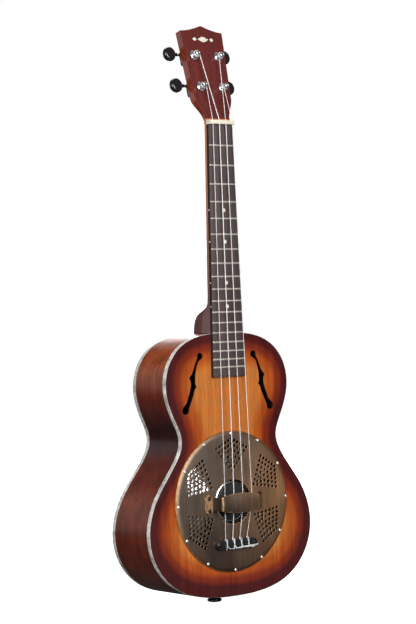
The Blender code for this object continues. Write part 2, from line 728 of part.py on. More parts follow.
def build_tuner(number, side, spot, chrome, black, brass, string_finish):
    x, s = spot
    seat = head_frame() @ Matrix.Translation((side * x, s, 0))
    post_bore = post_radius + gap
    shank = bushing_radius - bushing_wall + gap
    profile = [(post_bore, -7 * mm), (shank, -7 * mm), (shank, gap), (bushing_radius + 0.1 * mm, gap),
               (bushing_radius + 0.1 * mm, 0.9 * mm), (bushing_radius - 1.1 * mm, bushing_rise - 0.5 * mm),
               (post_bore + 0.7 * mm, bushing_rise), (post_bore, bushing_rise - 0.3 * mm)]
    place(f"tuner_bushing_{number}", turned(profile, 16, seat, closed=True), chrome)

    # Housing behind the headstock, its hollow open towards the wood
    floor = -head_thickness - gap
    deep = -tuner_depth - worm_radius - tooth_height - gap - housing_wall
    room = worm_length / 2 + gap
    half = room + housing_wall
    upper = worm_offset + worm_radius + tooth_height + gap + housing_wall
    lower = -(wheel_radius + tooth_height + gap + housing_wall)
    corner = 3 * mm
    outline = []
    for cx, cs, start in ((half - corner, upper - corner, 0), (-half + corner, upper - corner, 90),
                          (-half + corner, lower + corner, 180), (half - corner, lower + corner, 270)):
        for step in range(4):
            a = math.radians(start + 30 * step)
            outline.append((cx + corner * math.cos(a), cs + corner * math.sin(a)))
    upright = Matrix(((1, 0, 0, 0), (0, 0, 1, 0), (0, 1, 0, 0), (0, 0, 0, 1)))
    housing = place(f"tuner_housing_{number}", prism(outline, deep, floor, seat @ upright), black)
    hollow_floor = deep + housing_wall
    drum = rod(wheel_radius + tooth_height + gap, hollow_floor, floor + 5 * mm, 24, seat)
    combine(housing, place(f"guide_drum_{number}", drum, None))
    trough = block((-room, 0, hollow_floor), (room, upper - housing_wall, floor + 5 * mm), seat)
    combine(housing, place(f"guide_trough_{number}", trough, None))
    axle = seat @ Matrix.Translation((0, worm_offset, -tuner_depth))
    along_x = Matrix.Rotation(math.radians(90), 4, "Y")
    way = (0, 30 * mm) if side > 0 else (-30 * mm, 0)
    hole = rod(shaft_radius + gap, *way, 12, axle @ along_x)
    combine(housing, place(f"guide_shaft_hole_{number}", hole, None))

    # Post with its wheel, turning on the headstock's normal
    post_axis = empty(f"post_axis_{number}", seat)
    foot = hollow_floor + gap
    step = floor + 1.5 * mm
    profile = [(0, foot), (post_foot_radius, foot), (post_foot_radius, step), (post_radius, step),
               (post_radius, post_height - 0.8 * mm), (post_radius - 0.8 * mm, post_height), (0, post_height)]
    post = place(f"string_post_{number}", turned(profile, 14), chrome, post_axis)
    cross = place(f"guide_string_hole_{number}",
                  rod(0.9 * mm, -6 * mm, 6 * mm, 8, Matrix.Translation((0, 0, 8 * mm)) @ along_x), None, post_axis)
    combine(post, cross)
    flat = Matrix(((1, 0, 0, 0), (0, 0, 1, 0), (0, 1, 0, -tuner_depth), (0, 0, 0, 1)))
    half_wheel = wheel_thickness / 2
    wheel = place(f"worm_wheel_{number}", prism(wheel_outline(), -half_wheel, half_wheel, flat), brass, post_axis)
    bore = place(f"guide_wheel_bore_{number}",
                 rod(post_foot_radius + gap, -25 * mm, -5 * mm, 12), None, post_axis)
    combine(wheel, bore)
    diameter = string_diameters[number - 1]
    top = wrap_height() - diameter / 2 - gap
    inner, outer = post_bore, post_bore + diameter
    turn_height = min(diameter, (top - bushing_rise - gap) / wrap_turns)
    profile = [(inner, top), (inner, top - wrap_turns * turn_height)]
    for i in range(wrap_turns):
        low = top - (wrap_turns - i) * turn_height
        profile += [(outer - 0.15 * mm, low + 0.1 * turn_height), (outer, low + turn_height / 2),
                    (outer - 0.15 * mm, low + 0.9 * turn_height)]
    place(f"string_wrap_{number}", turned(profile, 12, closed=True), string_finish, post_axis)

    # Button and worm, turning on the shaft
    knob_axis = empty(f"knob_axis_{number}", axle)
    place(f"worm_shaft_{number}", worm_mesh(side), chrome, knob_axis)
    inner_edge = button_thickness / 2
    profile = [(0, -inner_edge), (0.62, -inner_edge), (0.86, -0.72 * inner_edge), (1, -0.2 * inner_edge),
               (1, 0.2 * inner_edge), (0.86, 0.72 * inner_edge), (0.62, inner_edge), (0, inner_edge)]
    disc = turned(profile, 20)
    bmesh.ops.scale(disc, vec=(button_half_length, button_half_height, 1), verts=disc.verts)
    centre = Matrix.Translation((side * button_reach, 0, 0))
    bmesh.ops.transform(disc, matrix=centre, verts=disc.verts)
    button = place(f"tuner_button_{number}", disc, black, knob_axis)
    start = button_reach - button_half_length - boss_length
    ends = sorted((side * start, side * (button_reach - 4 * mm)))
    boss = place(f"guide_boss_{number}", rod(2.3 * mm, *ends, 12, along_x), None, knob_axis)
    combine(button, boss, "UNION")


def wrap_height():
    """Height of the string over the headstock's face where it reaches the post."""
    return 6.4 * mm


def build_string(number, side, spot, finish):
    index = number - 1
    diameter = string_diameters[index]
    x, s = spot
    tie_z = saddle_z + tie_centre
    tie_x, saddle_x, nut_x = (string_x(index, step) for step in (tie_spacing, saddle_spacing, nut_spacing))
    tie_y, saddle_y, nut_y = (front_y - h for h in (string_over_tie, string_over_saddle, string_over_nut))
    leave = head_frame().inverted() @ Vector((nut_x, nut_y + 0.5 * mm, nut_z + nut_length + 0.5 * mm))
    centre = Vector((side * x, s))
    radius = post_radius + gap + diameter / 2
    away = centre - leave.xy
    far = away.length
    swing = math.asin(radius / far)
    direction = math.atan2(away.y, away.x) + side * swing
    run = math.sqrt(far**2 - radius**2)
    end = head_frame() @ Vector((leave.x + run * math.cos(direction), leave.y + run * math.sin(direction), wrap_height()))
    route = [
        Vector((tie_x, tie_y, tie_z - tie_width / 2 - 1.5 * mm)),
        Vector((tie_x, tie_y, tie_z + tie_width / 2 + 0.5 * mm)),
        Vector((saddle_x, saddle_y, saddle_z)),
        Vector((nut_x, nut_y, nut_z)),
        Vector((nut_x, nut_y + 0.5 * mm, nut_z + nut_length + 0.5 * mm)),
        end,
    ]
    points = []
    for first, second in zip(route, route[1:]):
        pieces = max(1, round((second - first).length / (60 * mm)))
        points += [first.lerp(second, i / pieces) for i in range(pieces)]
    points.append(route[-1])
    curve = bpy.data.curves.new(f"string_{number}", "CURVE")
    curve.dimensions = "3D"
    curve.bevel_depth = diameter / 2
    curve.bevel_resolution = 2
    curve.use_fill_caps = True
    curve.materials.append(finish)
    line = curve.splines.new("POLY")
    line.points.add(len(points) - 1)
    for point, place_at in zip(line.points, points):
        point.co = (*place_at, 1)
    made = bpy.data.objects.new(f"string_{number}", curve)
    bpy.context.scene.collection.objects.link(made)


def build_strap_button(black):
    top = tail_z - gap
    profile = [(0, 0), (pin_face_radius, 0), (pin_head_radius - 0.6 * mm, 1 * mm), (pin_head_radius, 2.4 * mm),
               (pin_head_radius - 0.8 * mm, 3.8 * mm), (pin_neck_radius, 5 * mm), (pin_neck_radius, 7.4 * mm),
               (pin_neck_radius + 2.6 * mm, 8.6 * mm), (pin_neck_radius + 2.6 * mm, top), (0, top)]
    place("strap_button", turned(profile, 24), black)


def main():
    clear_scene()
    mahogany = material("sunburst_mahogany", (0.50, 0.20, 0.07), 0.25)
    dark_mahogany = material("red_mahogany", (0.20, 0.06, 0.035), 0.3)
    spruce = material("inner_wood", (0.55, 0.38, 0.22), 0.7)
    pearloid = material("pearloid", (0.85, 0.82, 0.76), 0.3)
    spun = material("spun_aluminium", (0.8, 0.8, 0.8), 0.3, 1.0)
    brass = material("antique_brass", (0.30, 0.22, 0.12), 0.4, 1.0)
    dark_steel = material("dark_steel", (0.08, 0.07, 0.06), 0.4, 1.0)
    black = material("black_lacquer", (0.015, 0.015, 0.017), 0.2)
    rosewood = material("rosewood", (0.07, 0.045, 0.04), 0.5)
    bone = material("bone", (0.85, 0.8, 0.68), 0.4)
    chrome = material("chrome", (0.8, 0.8, 0.82), 0.1, 1.0)
    gear_brass = material("gear_brass", (0.6, 0.45, 0.18), 0.3, 1.0)
    nylon = material("white_nylon", (0.8, 0.8, 0.78), 0.35)

    build_body(mahogany, dark_mahogany, spruce, pearloid)
    build_resonator(spruce, spun, black, bone, dark_steel)
    build_cover(brass, dark_steel, black)
    build_neck(dark_mahogany)
    build_board(rosewood, bone)
    for i, (side, spot) in enumerate(tuner_places()):
        build_tuner(i + 1, side, spot, chrome, black, gear_brass, nylon)
        build_string(i + 1, side, spot, nylon)
    build_strap_button(black)


main()
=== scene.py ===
import json
import math

import bmesh
import bpy
import numpy as np
from mathutils import Matrix, Vector


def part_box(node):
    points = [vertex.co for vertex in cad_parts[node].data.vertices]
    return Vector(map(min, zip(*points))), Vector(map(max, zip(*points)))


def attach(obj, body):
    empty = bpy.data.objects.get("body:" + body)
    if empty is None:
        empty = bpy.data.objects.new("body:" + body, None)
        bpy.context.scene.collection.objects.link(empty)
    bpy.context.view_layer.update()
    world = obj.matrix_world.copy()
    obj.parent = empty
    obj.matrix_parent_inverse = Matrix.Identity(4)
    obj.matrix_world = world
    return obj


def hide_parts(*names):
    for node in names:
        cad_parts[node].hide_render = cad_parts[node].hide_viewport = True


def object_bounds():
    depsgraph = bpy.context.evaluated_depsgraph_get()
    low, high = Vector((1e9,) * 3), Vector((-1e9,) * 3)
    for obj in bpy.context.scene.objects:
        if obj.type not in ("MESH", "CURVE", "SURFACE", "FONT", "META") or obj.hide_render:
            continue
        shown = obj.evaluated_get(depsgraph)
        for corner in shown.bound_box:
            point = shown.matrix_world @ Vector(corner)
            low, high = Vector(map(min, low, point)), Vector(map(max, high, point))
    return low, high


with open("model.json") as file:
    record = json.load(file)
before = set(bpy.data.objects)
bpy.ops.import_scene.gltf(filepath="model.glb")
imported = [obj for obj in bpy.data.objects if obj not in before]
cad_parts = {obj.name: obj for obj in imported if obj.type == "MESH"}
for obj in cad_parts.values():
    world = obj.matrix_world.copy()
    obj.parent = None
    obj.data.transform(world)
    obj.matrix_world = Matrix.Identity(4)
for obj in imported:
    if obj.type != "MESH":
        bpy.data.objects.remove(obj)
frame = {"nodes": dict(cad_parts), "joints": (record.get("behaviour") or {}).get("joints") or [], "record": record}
cadLow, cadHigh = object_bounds()
mm = 0.001

# Places read from the frame
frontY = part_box("soundboard")[0].y
tailZ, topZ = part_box("rim")[0].z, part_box("rim")[1].z
bodyLength = topZ - tailZ
saddleZ = sum(corner.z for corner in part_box("saddle")) / 2
wellZ = sum(corner.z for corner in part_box("coverplate")) / 2
nutZ, nutTopZ = (corner.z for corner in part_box("nut"))
scaleLength = nutZ - saddleZ
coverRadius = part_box("coverplate")[1].x
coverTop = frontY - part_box("coverplate")[0].y  # heights are measured out from the soundboard
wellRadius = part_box("cone")[1].x + 0.6 * mm
backPoint, backNormal = (Vector(frame["record"]["mounts"][1][key]) for key in ("pos_m", "axis"))
joints = {joint["name"]: joint for joint in frame["joints"]}
print("frame loaded: body", round(bodyLength / mm), "mm, scale", round(scaleLength / mm), "mm")


# Making and finishing pieces

def newObject(name, bm, angle=35):
    mesh = bpy.data.meshes.new(name)
    bm.to_mesh(mesh)
    bm.free()
    mesh.shade_smooth()
    mesh.set_sharp_from_angle(angle=math.radians(angle))
    made = bpy.data.objects.new(name, mesh)
    bpy.context.scene.collection.objects.link(made)
    return made


def addPiece(name, bm, finishes, replaces=(), body="body", angle=35):
    piece = newObject(name, bm, angle)
    for finish in finishes if isinstance(finishes, (list, tuple)) else [finishes]:
        piece.data.materials.append(finish)
    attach(piece, body)
    if replaces:
        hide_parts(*replaces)
    return piece


def carve(bm, cutters, operation="DIFFERENCE"):
    holder = newObject("carveHolder", bm)
    tools = [newObject("carveTool", cutter) for cutter in cutters]
    for tool in tools:
        step = holder.modifiers.new("carve", "BOOLEAN")
        step.operation = operation
        step.object = tool
    bpy.context.view_layer.update()
    result = bmesh.new()
    result.from_object(holder, bpy.context.evaluated_depsgraph_get())
    for leftover in [holder, *tools]:
        bpy.data.objects.remove(leftover)
    return result


def tidyMesh(bm, recalc=True):
    bmesh.ops.remove_doubles(bm, verts=bm.verts, dist=1e-6)
    if recalc:
        bmesh.ops.recalc_face_normals(bm, faces=bm.faces)
    return bm


def spun(profile, steps, matrix=None, ring=False):
    # a profile of (radius, height) turned about z; ring joins its two ends
    bm = bmesh.new()
    verts = [bm.verts.new((radius, 0, height)) for radius, height in profile]
    edges = [bm.edges.new(pair) for pair in zip(verts, verts[1:])]
    if ring:
        edges.append(bm.edges.new((verts[-1], verts[0])))
    bmesh.ops.spin(bm, geom=verts + edges, axis=(0, 0, 1), cent=(0, 0, 0),
                   angle=math.tau, steps=steps, use_merge=True)
    tidyMesh(bm)
    if matrix:
        bmesh.ops.transform(bm, matrix=matrix, verts=bm.verts)
    return bm


def rod(radius, low, high, steps=24, matrix=None):
    return spun([(0, low), (radius, low), (radius, high), (0, high)], steps, matrix)


def roundedProfile(radius, low, high, fillet, steps=4):
    # a disc's profile with both corners rounded
    profile = [(0, low)]
    for centre, start in (((radius - fillet, low + fillet), -90), ((radius - fillet, high - fillet), 0)):
        for i in range(steps + 1):
            a = math.radians(start + 90 * i / steps)
            profile.append((centre[0] + fillet * math.cos(a), centre[1] + fillet * math.sin(a)))
    return profile + [(0, high)]


def brick(low, high, matrix=None, bevel=0.0, segments=2):
    bm = bmesh.new()
    bmesh.ops.create_cube(bm, size=1)
    low, high = Vector(low), Vector(high)
    bmesh.ops.scale(bm, vec=high - low, verts=bm.verts)
    bmesh.ops.translate(bm, vec=(low + high) / 2, verts=bm.verts)
    if bevel:
        roundEdges(bm, bm.edges[:], bevel, segments)
    if matrix:
        bmesh.ops.transform(bm, matrix=matrix, verts=bm.verts)
    return bm


def roundEdges(bm, edges, width, segments=2):
    bmesh.ops.bevel(bm, geom=edges, offset=width, offset_type="OFFSET", affect="EDGES",
                    segments=segments, profile=0.5, material=-1, clamp_overlap=True)


def slab(outline, low, high, matrix=None, bevel=0.0, segments=2):
    # an outline of (x, z) points extruded along y between two heights, numbers or functions of z
    bm = bmesh.new()
    at = [low, high]
    verts = [bm.verts.new((x, at[0](z) if callable(at[0]) else at[0], z)) for x, z in outline]
    face = bm.faces.new(verts)
    grown = bmesh.ops.extrude_face_region(bm, geom=[face])
    for item in grown["geom"]:
        if isinstance(item, bmesh.types.BMVert):
            item.co.y = at[1](item.co.z) if callable(at[1]) else at[1]
    bmesh.ops.recalc_face_normals(bm, faces=bm.faces)
    if bevel:
        rims = [e for e in bm.edges if any(len(f.verts) > 4 for f in e.link_faces)]
        roundEdges(bm, rims, bevel, segments)
    if matrix:
        bmesh.ops.transform(bm, matrix=matrix, verts=bm.verts)
    return bm


def loopEdges(bm, points):
    verts = [bm.verts.new(point) for point in points]
    return [bm.edges.new((a, b)) for a, b in zip(verts, verts[1:] + verts[:1])]


def lofted(rings, capped=True):
    # closed rings of equal count bridged one to the next
    bm = bmesh.new()
    loops = [loopEdges(bm, ring) for ring in rings]
    for first, second in zip(loops, loops[1:]):
        bmesh.ops.bridge_loops(bm, edges=first + second)
    if capped:
        for loop in (loops[0], loops[-1]):
            bmesh.ops.contextual_create(bm, geom=loop)
    bmesh.ops.recalc_face_normals(bm, faces=bm.faces)
    return bm


def joinMeshes(parts):
    whole = bmesh.new()
    for part in parts:
        holder = bpy.data.meshes.new("joinHolder")
        part.to_mesh(holder)
        part.free()
        whole.from_mesh(holder)
        bpy.data.meshes.remove(holder)
    return whole


def facing(x, z, height=0.0):
    # pieces made along z turned to stand on the soundboard at this height
    return Matrix.Translation((x, frontY - height, z)) @ Matrix.Rotation(math.radians(90), 4, "X")


# Materials: small helpers and the shared node groups

def node(tree, kind, values=None, **settings):
    made = tree.nodes.new(kind)
    for key, value in settings.items():
        setattr(made, key, value)
    for key, value in (values or {}).items():
        if isinstance(value, bpy.types.NodeSocket):
            tree.links.new(value, made.inputs[key])
        else:
            made.inputs[key].default_value = value
    return made


def ramp(tree, factor, stops, mode="LINEAR"):
    made = node(tree, "ShaderNodeValToRGB", {"Fac": factor})
    made.color_ramp.interpolation = mode
    elements = made.color_ramp.elements
    while len(elements) < len(stops):
        elements.new(0.5)
    for element, (place, colour) in zip(elements, stops):
        element.position = place
        element.color = (*colour, 1) if len(colour) == 3 else colour
    return made.outputs["Color"]


def blend(tree, factor, first, second, mode="MIX"):
    made = node(tree, "ShaderNodeMix", data_type="RGBA", blend_type=mode)
    for socket, value in ((made.inputs[0], factor), (made.inputs[6], first), (made.inputs[7], second)):
        if isinstance(value, bpy.types.NodeSocket):
            tree.links.new(value, socket)
        else:
            socket.default_value = value if isinstance(value, (int, float)) else (*value, 1)
    return made.outputs[2]


def maths(tree, operation, first, second=0.0, third=None, clamp=False):
    values = {0: first, 1: second}
    if third is not None:
        values[2] = third
    return node(tree, "ShaderNodeMath", values, operation=operation, use_clamp=clamp).outputs[0]


def span(tree, value, low, high, outLow=0.0, outHigh=1.0):
    made = node(tree, "ShaderNodeMapRange", {"Value": value, "From Min": low, "From Max": high,
                                             "To Min": outLow, "To Max": outHigh})
    return made.outputs["Result"]


def noise(tree, vector, scale, detail=4.0, roughness=0.55, distortion=0.0):
    values = {"Vector": vector, "Scale": scale, "Detail": detail, "Roughness": roughness,
              "Distortion": distortion}
    return node(tree, "ShaderNodeTexNoise", values).outputs["Fac"]


def stretched(tree, vector, scale, turn=(0, 0, 0), centre=(0, 0, 0)):
    values = {"Vector": vector, "Scale": scale, "Rotation": turn, "Location": centre}
    return node(tree, "ShaderNodeMapping", values).outputs["Vector"]


def objectCoords(tree):
    return node(tree, "ShaderNodeTexCoord").outputs["Object"]


def newGroup(name, inputs, outputs):
    group = bpy.data.node_groups.new(name, "ShaderNodeTree")
    for label, kind, default in inputs:
        socket = group.interface.new_socket(label, in_out="INPUT", socket_type=kind)
        if default is not None:
            socket.default_value = default
    for label, kind in outputs:
        group.interface.new_socket(label, in_out="OUTPUT", socket_type=kind)
    inlet = group.nodes.new("NodeGroupInput").outputs
    outlet = group.nodes.new("NodeGroupOutput").inputs
    return group, inlet, outlet


def placeGroup(tree, group, values):
    made = tree.nodes.new("ShaderNodeGroup")
    made.node_tree = group
    for key, value in values.items():
        if isinstance(value, bpy.types.NodeSocket):
            tree.links.new(value, made.inputs[key])
        else:
            made.inputs[key].default_value = value
    return made.outputs


def buildWoodFigure():
    # grain along z: broad colour streaks, fine pores and a cross-grain shimmer
    group, inlet, outlet = newGroup(
        "woodFigure",
        [("Vector", "NodeSocketVector", None), ("Size", "NodeSocketFloat", 1.0)],
        [("Streaks", "NodeSocketFloat"), ("Pores", "NodeSocketFloat"), ("Shimmer", "NodeSocketFloat")])
    sized = node(group, "ShaderNodeVectorMath", {0: inlet["Vector"], "Scale": inlet["Size"]},
                 operation="SCALE").outputs[0]
    sway = noise(group, stretched(group, sized, (6, 6, 3)), 1.0, 2.0)
    bent = node(group, "ShaderNodeVectorMath", {0: sized, 1: (0, 0, 0)}, operation="ADD")
    offset = node(group, "ShaderNodeCombineXYZ", {"X": maths(group, "MULTIPLY", sway, 0.012)}).outputs[0]
    group.links.new(offset, bent.inputs[1])
    flow = bent.outputs[0]
    broad = noise(group, stretched(group, flow, (150, 150, 5)), 1.0, 5.0, 0.6)
    fine = noise(group, stretched(group, flow, (620, 620, 14)), 1.0, 3.0, 0.6)
    mixed = maths(group, "MULTIPLY_ADD", fine, 0.4, maths(group, "MULTIPLY", broad, 0.6))
    group.links.new(span(group, mixed, 0.32, 0.68), outlet["Streaks"])
    dots = noise(group, stretched(group, flow, (1500, 1500, 75)), 1.0, 2.0, 0.5)
    group.links.new(span(group, dots, 0.60, 0.72), outlet["Pores"])
    bands = noise(group, stretched(group, flow, (14, 14, 130)), 1.0, 3.0, 0.6, 0.4)
    group.links.new(span(group, bands, 0.35, 0.65), outlet["Shimmer"])
    return group


def buildBrushedLines():
    # long parallel scratches along z
    group, inlet, outlet = newGroup(
        "brushedLines",
        [("Vector", "NodeSocketVector", None), ("Fineness", "NodeSocketFloat", 1.0)],
        [("Lines", "NodeSocketFloat"), ("Bands", "NodeSocketFloat")])
    sized = node(group, "ShaderNodeVectorMath", {0: inlet["Vector"], "Scale": inlet["Fineness"]},
                 operation="SCALE").outputs[0]
    lines = noise(group, stretched(group, sized, (2400, 2400, 11)), 1.0, 3.0, 0.65)
    bands = noise(group, stretched(group, sized, (620, 620, 4)), 1.0, 4.0, 0.6)
    group.links.new(span(group, lines, 0.3, 0.7), outlet["Lines"])
    group.links.new(span(group, bands, 0.3, 0.7), outlet["Bands"])
    return group


def buildHandling():
    # faint smears and fine dust that vary the gloss
    group, inlet, outlet = newGroup(
        "handling",
        [("Vector", "NodeSocketVector", None), ("Amount", "NodeSocketFloat", 0.1),
         ("Base", "NodeSocketFloat", 0.3)],
        [("Roughness", "NodeSocketFloat"), ("Smears", "NodeSocketFloat")])
    smears = noise(group, stretched(group, inlet["Vector"], (22, 22, 15)), 1.0, 5.0, 0.6, 0.6)
    specks = noise(group, stretched(group, inlet["Vector"], (900, 900, 900)), 1.0, 2.0)
    both = maths(group, "MULTIPLY_ADD", span(group, specks, 0.55, 0.8), 0.4, span(group, smears, 0.35, 0.7))
    group.links.new(maths(group, "MULTIPLY_ADD", both, inlet["Amount"], inlet["Base"]), outlet["Roughness"])
    group.links.new(both, outlet["Smears"])
    return group


woodFigure = buildWoodFigure()
brushedLines = buildBrushedLines()
handling = buildHandling()


def newMaterial(name, **values):
    made = bpy.data.materials.new(name)
    made.use_nodes = True
    shader = made.node_tree.nodes["Principled BSDF"]
    for key, value in values.items():
        label = {"coat": "Coat Weight", "coatRoughness": "Coat Roughness", "metallic": "Metallic",
                 "specular": "Specular IOR Level", "roughness": "Roughness",
                 "transmission": "Transmission Weight",
                 "subsurface": "Subsurface Weight", "ior": "IOR", "anisotropy": "Anisotropic"}[key]
        shader.inputs[label].default_value = value
    return made, made.node_tree, shader


def wire(tree, shader, colour=None, roughness=None, height=None, bump=0.2, distance=0.2 * mm, metallic=None):
    if colour is not None:
        tree.links.new(colour, shader.inputs["Base Color"])
    if roughness is not None:
        tree.links.new(roughness, shader.inputs["Roughness"])
    if metallic is not None:
        tree.links.new(metallic, shader.inputs["Metallic"])
    if height is not None:
        raised = node(tree, "ShaderNodeBump", {"Strength": bump, "Distance": distance, "Height": height})
        tree.links.new(raised.outputs["Normal"], shader.inputs["Normal"])


def separate(tree, vector):
    return node(tree, "ShaderNodeSeparateXYZ", {"Vector": vector}).outputs


burstLook = {
    "amber": (0.620, 0.215, 0.045), "orange": (0.450, 0.095, 0.014), "red": (0.215, 0.028, 0.011),
    "edge": (0.072, 0.010, 0.012), "coat": 0.65,
    "reach": 0.042,  # from the outline to the plain amber
    "shadedWaistHeight": 0.198,  # where the sides are darkest: painted shade where the waist turns away from the light
}


def burstStops():
    # colour over the distance from the outline, as a share of the reach
    look = burstLook
    return [(0.0, look["edge"]), (0.16, look["edge"]), (0.36, look["red"]), (0.62, look["orange"]),
            (1.0, look["amber"])]


def makeBurstTop():
    made, tree, shader = newMaterial("sunburstMahoganyTop", coat=burstLook["coat"], coatRoughness=0.06,
                                     specular=0.35)
    where = objectCoords(tree)
    figure = placeGroup(tree, woodFigure, {"Vector": where, "Size": 1.0})
    edge = node(tree, "ShaderNodeAttribute", attribute_name="edgeDistance").outputs["Fac"]
    wobble = noise(tree, stretched(tree, where, (14, 14, 9)), 1.0, 3.0)
    spread = maths(tree, "MULTIPLY_ADD", span(tree, wobble, 0.3, 0.7), 0.12,
                   maths(tree, "DIVIDE", edge, burstLook["reach"]))
    # the dark border is wider at the foot
    reach = maths(tree, "SUBTRACT", spread, span(tree, separate(tree, where)["Z"], 0.11, 0.03, 0, 0.12))
    colour = ramp(tree, maths(tree, "SUBTRACT", reach, 0.06, clamp=True), burstStops(), "EASE")
    darker = blend(tree, 1.0, colour,
                   ramp(tree, figure["Streaks"], [(0, (0.55, 0.48, 0.42)), (1, (1, 1, 1))]), "MULTIPLY")
    shine = blend(tree, maths(tree, "MULTIPLY", figure["Shimmer"], 0.25), darker, (0.95, 0.42, 0.12),
                  "SOFT_LIGHT")
    porous = blend(tree, maths(tree, "MULTIPLY", figure["Pores"], 0.45), shine, (0.06, 0.015, 0.006))
    gloss = placeGroup(tree, handling, {"Vector": where, "Amount": 0.10, "Base": 0.26})
    wire(tree, shader, porous, gloss["Roughness"], figure["Pores"], 0.10, -0.1 * mm)
    return made


def makeBurstSide():
    made, tree, shader = newMaterial("sunburstMahoganySides", coat=0.22, coatRoughness=0.26, specular=0.20)
    where = objectCoords(tree)
    figure = placeGroup(tree, woodFigure, {"Vector": where, "Size": 0.7})
    axes = separate(tree, where)
    # painted shade: the sides are darkest at the waist, which turns away from the light, and are darker towards
    # the foot
    waist = span(tree,
                 node(tree, "ShaderNodeMath",
                      {0: maths(tree, "SUBTRACT", axes["Z"], burstLook["shadedWaistHeight"])},
                            operation="ABSOLUTE").outputs[0], 0.004, 0.075)
    foot = span(tree, axes["Z"], -0.02, 0.26)
    middle = maths(tree, "MULTIPLY", waist, maths(tree, "MULTIPLY_ADD", foot, 0.7, 0.3))
    colour = ramp(tree, middle,
                  [(0, (0.030, 0.006, 0.007)), (0.45, (0.125, 0.022, 0.012)), (1, (0.300, 0.070, 0.018))],
                  "EASE")
    darker = blend(tree, 1.0, colour,
                   ramp(tree, figure["Streaks"], [(0, (0.36, 0.27, 0.24)), (1, (1.1, 1.1, 1.1))]),
                   "MULTIPLY")
    shine = blend(tree, maths(tree, "MULTIPLY", figure["Shimmer"], 0.4), darker, (1.0, 0.5, 0.15),
                  "SOFT_LIGHT")
    porous = blend(tree, maths(tree, "MULTIPLY", figure["Pores"], 0.6), shine, (0.03, 0.008, 0.005))
    gloss = placeGroup(tree, handling, {"Vector": where, "Amount": 0.10, "Base": 0.28})
    wire(tree, shader, porous, gloss["Roughness"], figure["Pores"], 0.12, -0.1 * mm)
    return made


def makeStainedWood(name, dark, light, coat=0.5, base=0.28, size=1.0, poreColour=(0.02, 0.006, 0.004),
                    paintedSheenBand=None):
    made, tree, shader = newMaterial(name, coat=coat, coatRoughness=0.08, specular=0.35)
    where = objectCoords(tree)
    figure = placeGroup(tree, woodFigure, {"Vector": where, "Size": size})
    patchy = span(tree, noise(tree, stretched(tree, where, (30, 30, 8)), 1.0, 4.0), 0.3, 0.7)
    colour = ramp(tree,
                  maths(tree, "MULTIPLY_ADD", figure["Streaks"], 0.7, maths(tree, "MULTIPLY", patchy, 0.3)),
                  [(0, dark), (1, light)])
    if paintedSheenBand:
        # painted sheen: paler and more orange between two heights along the neck, fading out at the nut
        low, high, pale = paintedSheenBand
        height = separate(tree, where)["Z"]
        share = maths(tree, "MULTIPLY", span(tree, height, low, high, 0, 0.85),
                      span(tree, height, nutZ + 20 * mm, nutZ))
        colour = blend(tree, share, colour, pale)
    porous = blend(tree, maths(tree, "MULTIPLY", figure["Pores"], 0.55), colour, poreColour)
    gloss = placeGroup(tree, handling, {"Vector": where, "Amount": 0.12, "Base": base})
    wire(tree, shader, porous, gloss["Roughness"], figure["Pores"], 0.15, -0.1 * mm)
    return made


def makeRawWood():
    made, tree, shader = newMaterial("rawInnerWood", specular=0.2)
    where = objectCoords(tree)
    figure = placeGroup(tree, woodFigure, {"Vector": where, "Size": 0.8})
    colour = ramp(tree, figure["Streaks"], [(0, (0.36, 0.22, 0.11)), (1, (0.58, 0.41, 0.24))])
    gloss = placeGroup(tree, handling, {"Vector": where, "Amount": 0.15, "Base": 0.62})
    wire(tree, shader, colour, gloss["Roughness"], figure["Streaks"], 0.3, 0.1 * mm)
    return made


def makePearl(name, light, dark, cell=170.0, roughness=0.22):
    made, tree, shader = newMaterial(name, coat=0.5, coatRoughness=0.05)
    where = objectCoords(tree)
    warp = node(tree, "ShaderNodeTexNoise",
                {"Vector": where, "Scale": cell * 0.9, "Detail": 3.0}).outputs["Color"]
    moved = node(tree, "ShaderNodeVectorMath",
                 {0: where,
                  1: node(tree, "ShaderNodeVectorMath", {0: warp, "Scale": 0.012},
                          operation="SCALE").outputs[0]}, operation="ADD").outputs[0]
    flakes = node(tree, "ShaderNodeTexVoronoi", {"Vector": moved, "Scale": cell},
                  feature="SMOOTH_F1").outputs["Color"]
    tone = separate(tree, flakes)["X"]
    soft = span(tree, noise(tree, moved, cell * 0.5, 4.0, 0.6), 0.3, 0.7)
    colour = ramp(tree, maths(tree, "MULTIPLY_ADD", tone, 0.5, maths(tree, "MULTIPLY", soft, 0.5)),
                  [(0.15, dark), (0.5, tuple((a + b) / 2 for a, b in zip(light, dark))), (0.75, light)],
                  "EASE")
    gloss = placeGroup(tree, handling, {"Vector": where, "Amount": 0.08, "Base": roughness})
    wire(tree, shader, colour, gloss["Roughness"])
    return made


brassLook = {
    "dark": (0.150, 0.108, 0.082), "light": (0.345, 0.258, 0.198), "rubbedAndHighlight": (0.760, 0.450, 0.190),
    # next line: a painted sheen colour that lightens the treble side, and a darker colour for the foot
    "paintedSheen": (2.70, 1.95, 1.30), "foot": (0.48, 0.43, 0.42), "grazing": (0.80, 0.58, 0.38, 1),
    # painted shade colour, used where the wear attribute is below zero on the hand rest's legs
    "paintedShade": (0.030, 0.020, 0.015),
    "roughness": 0.42, "lineBump": 0.16,
}


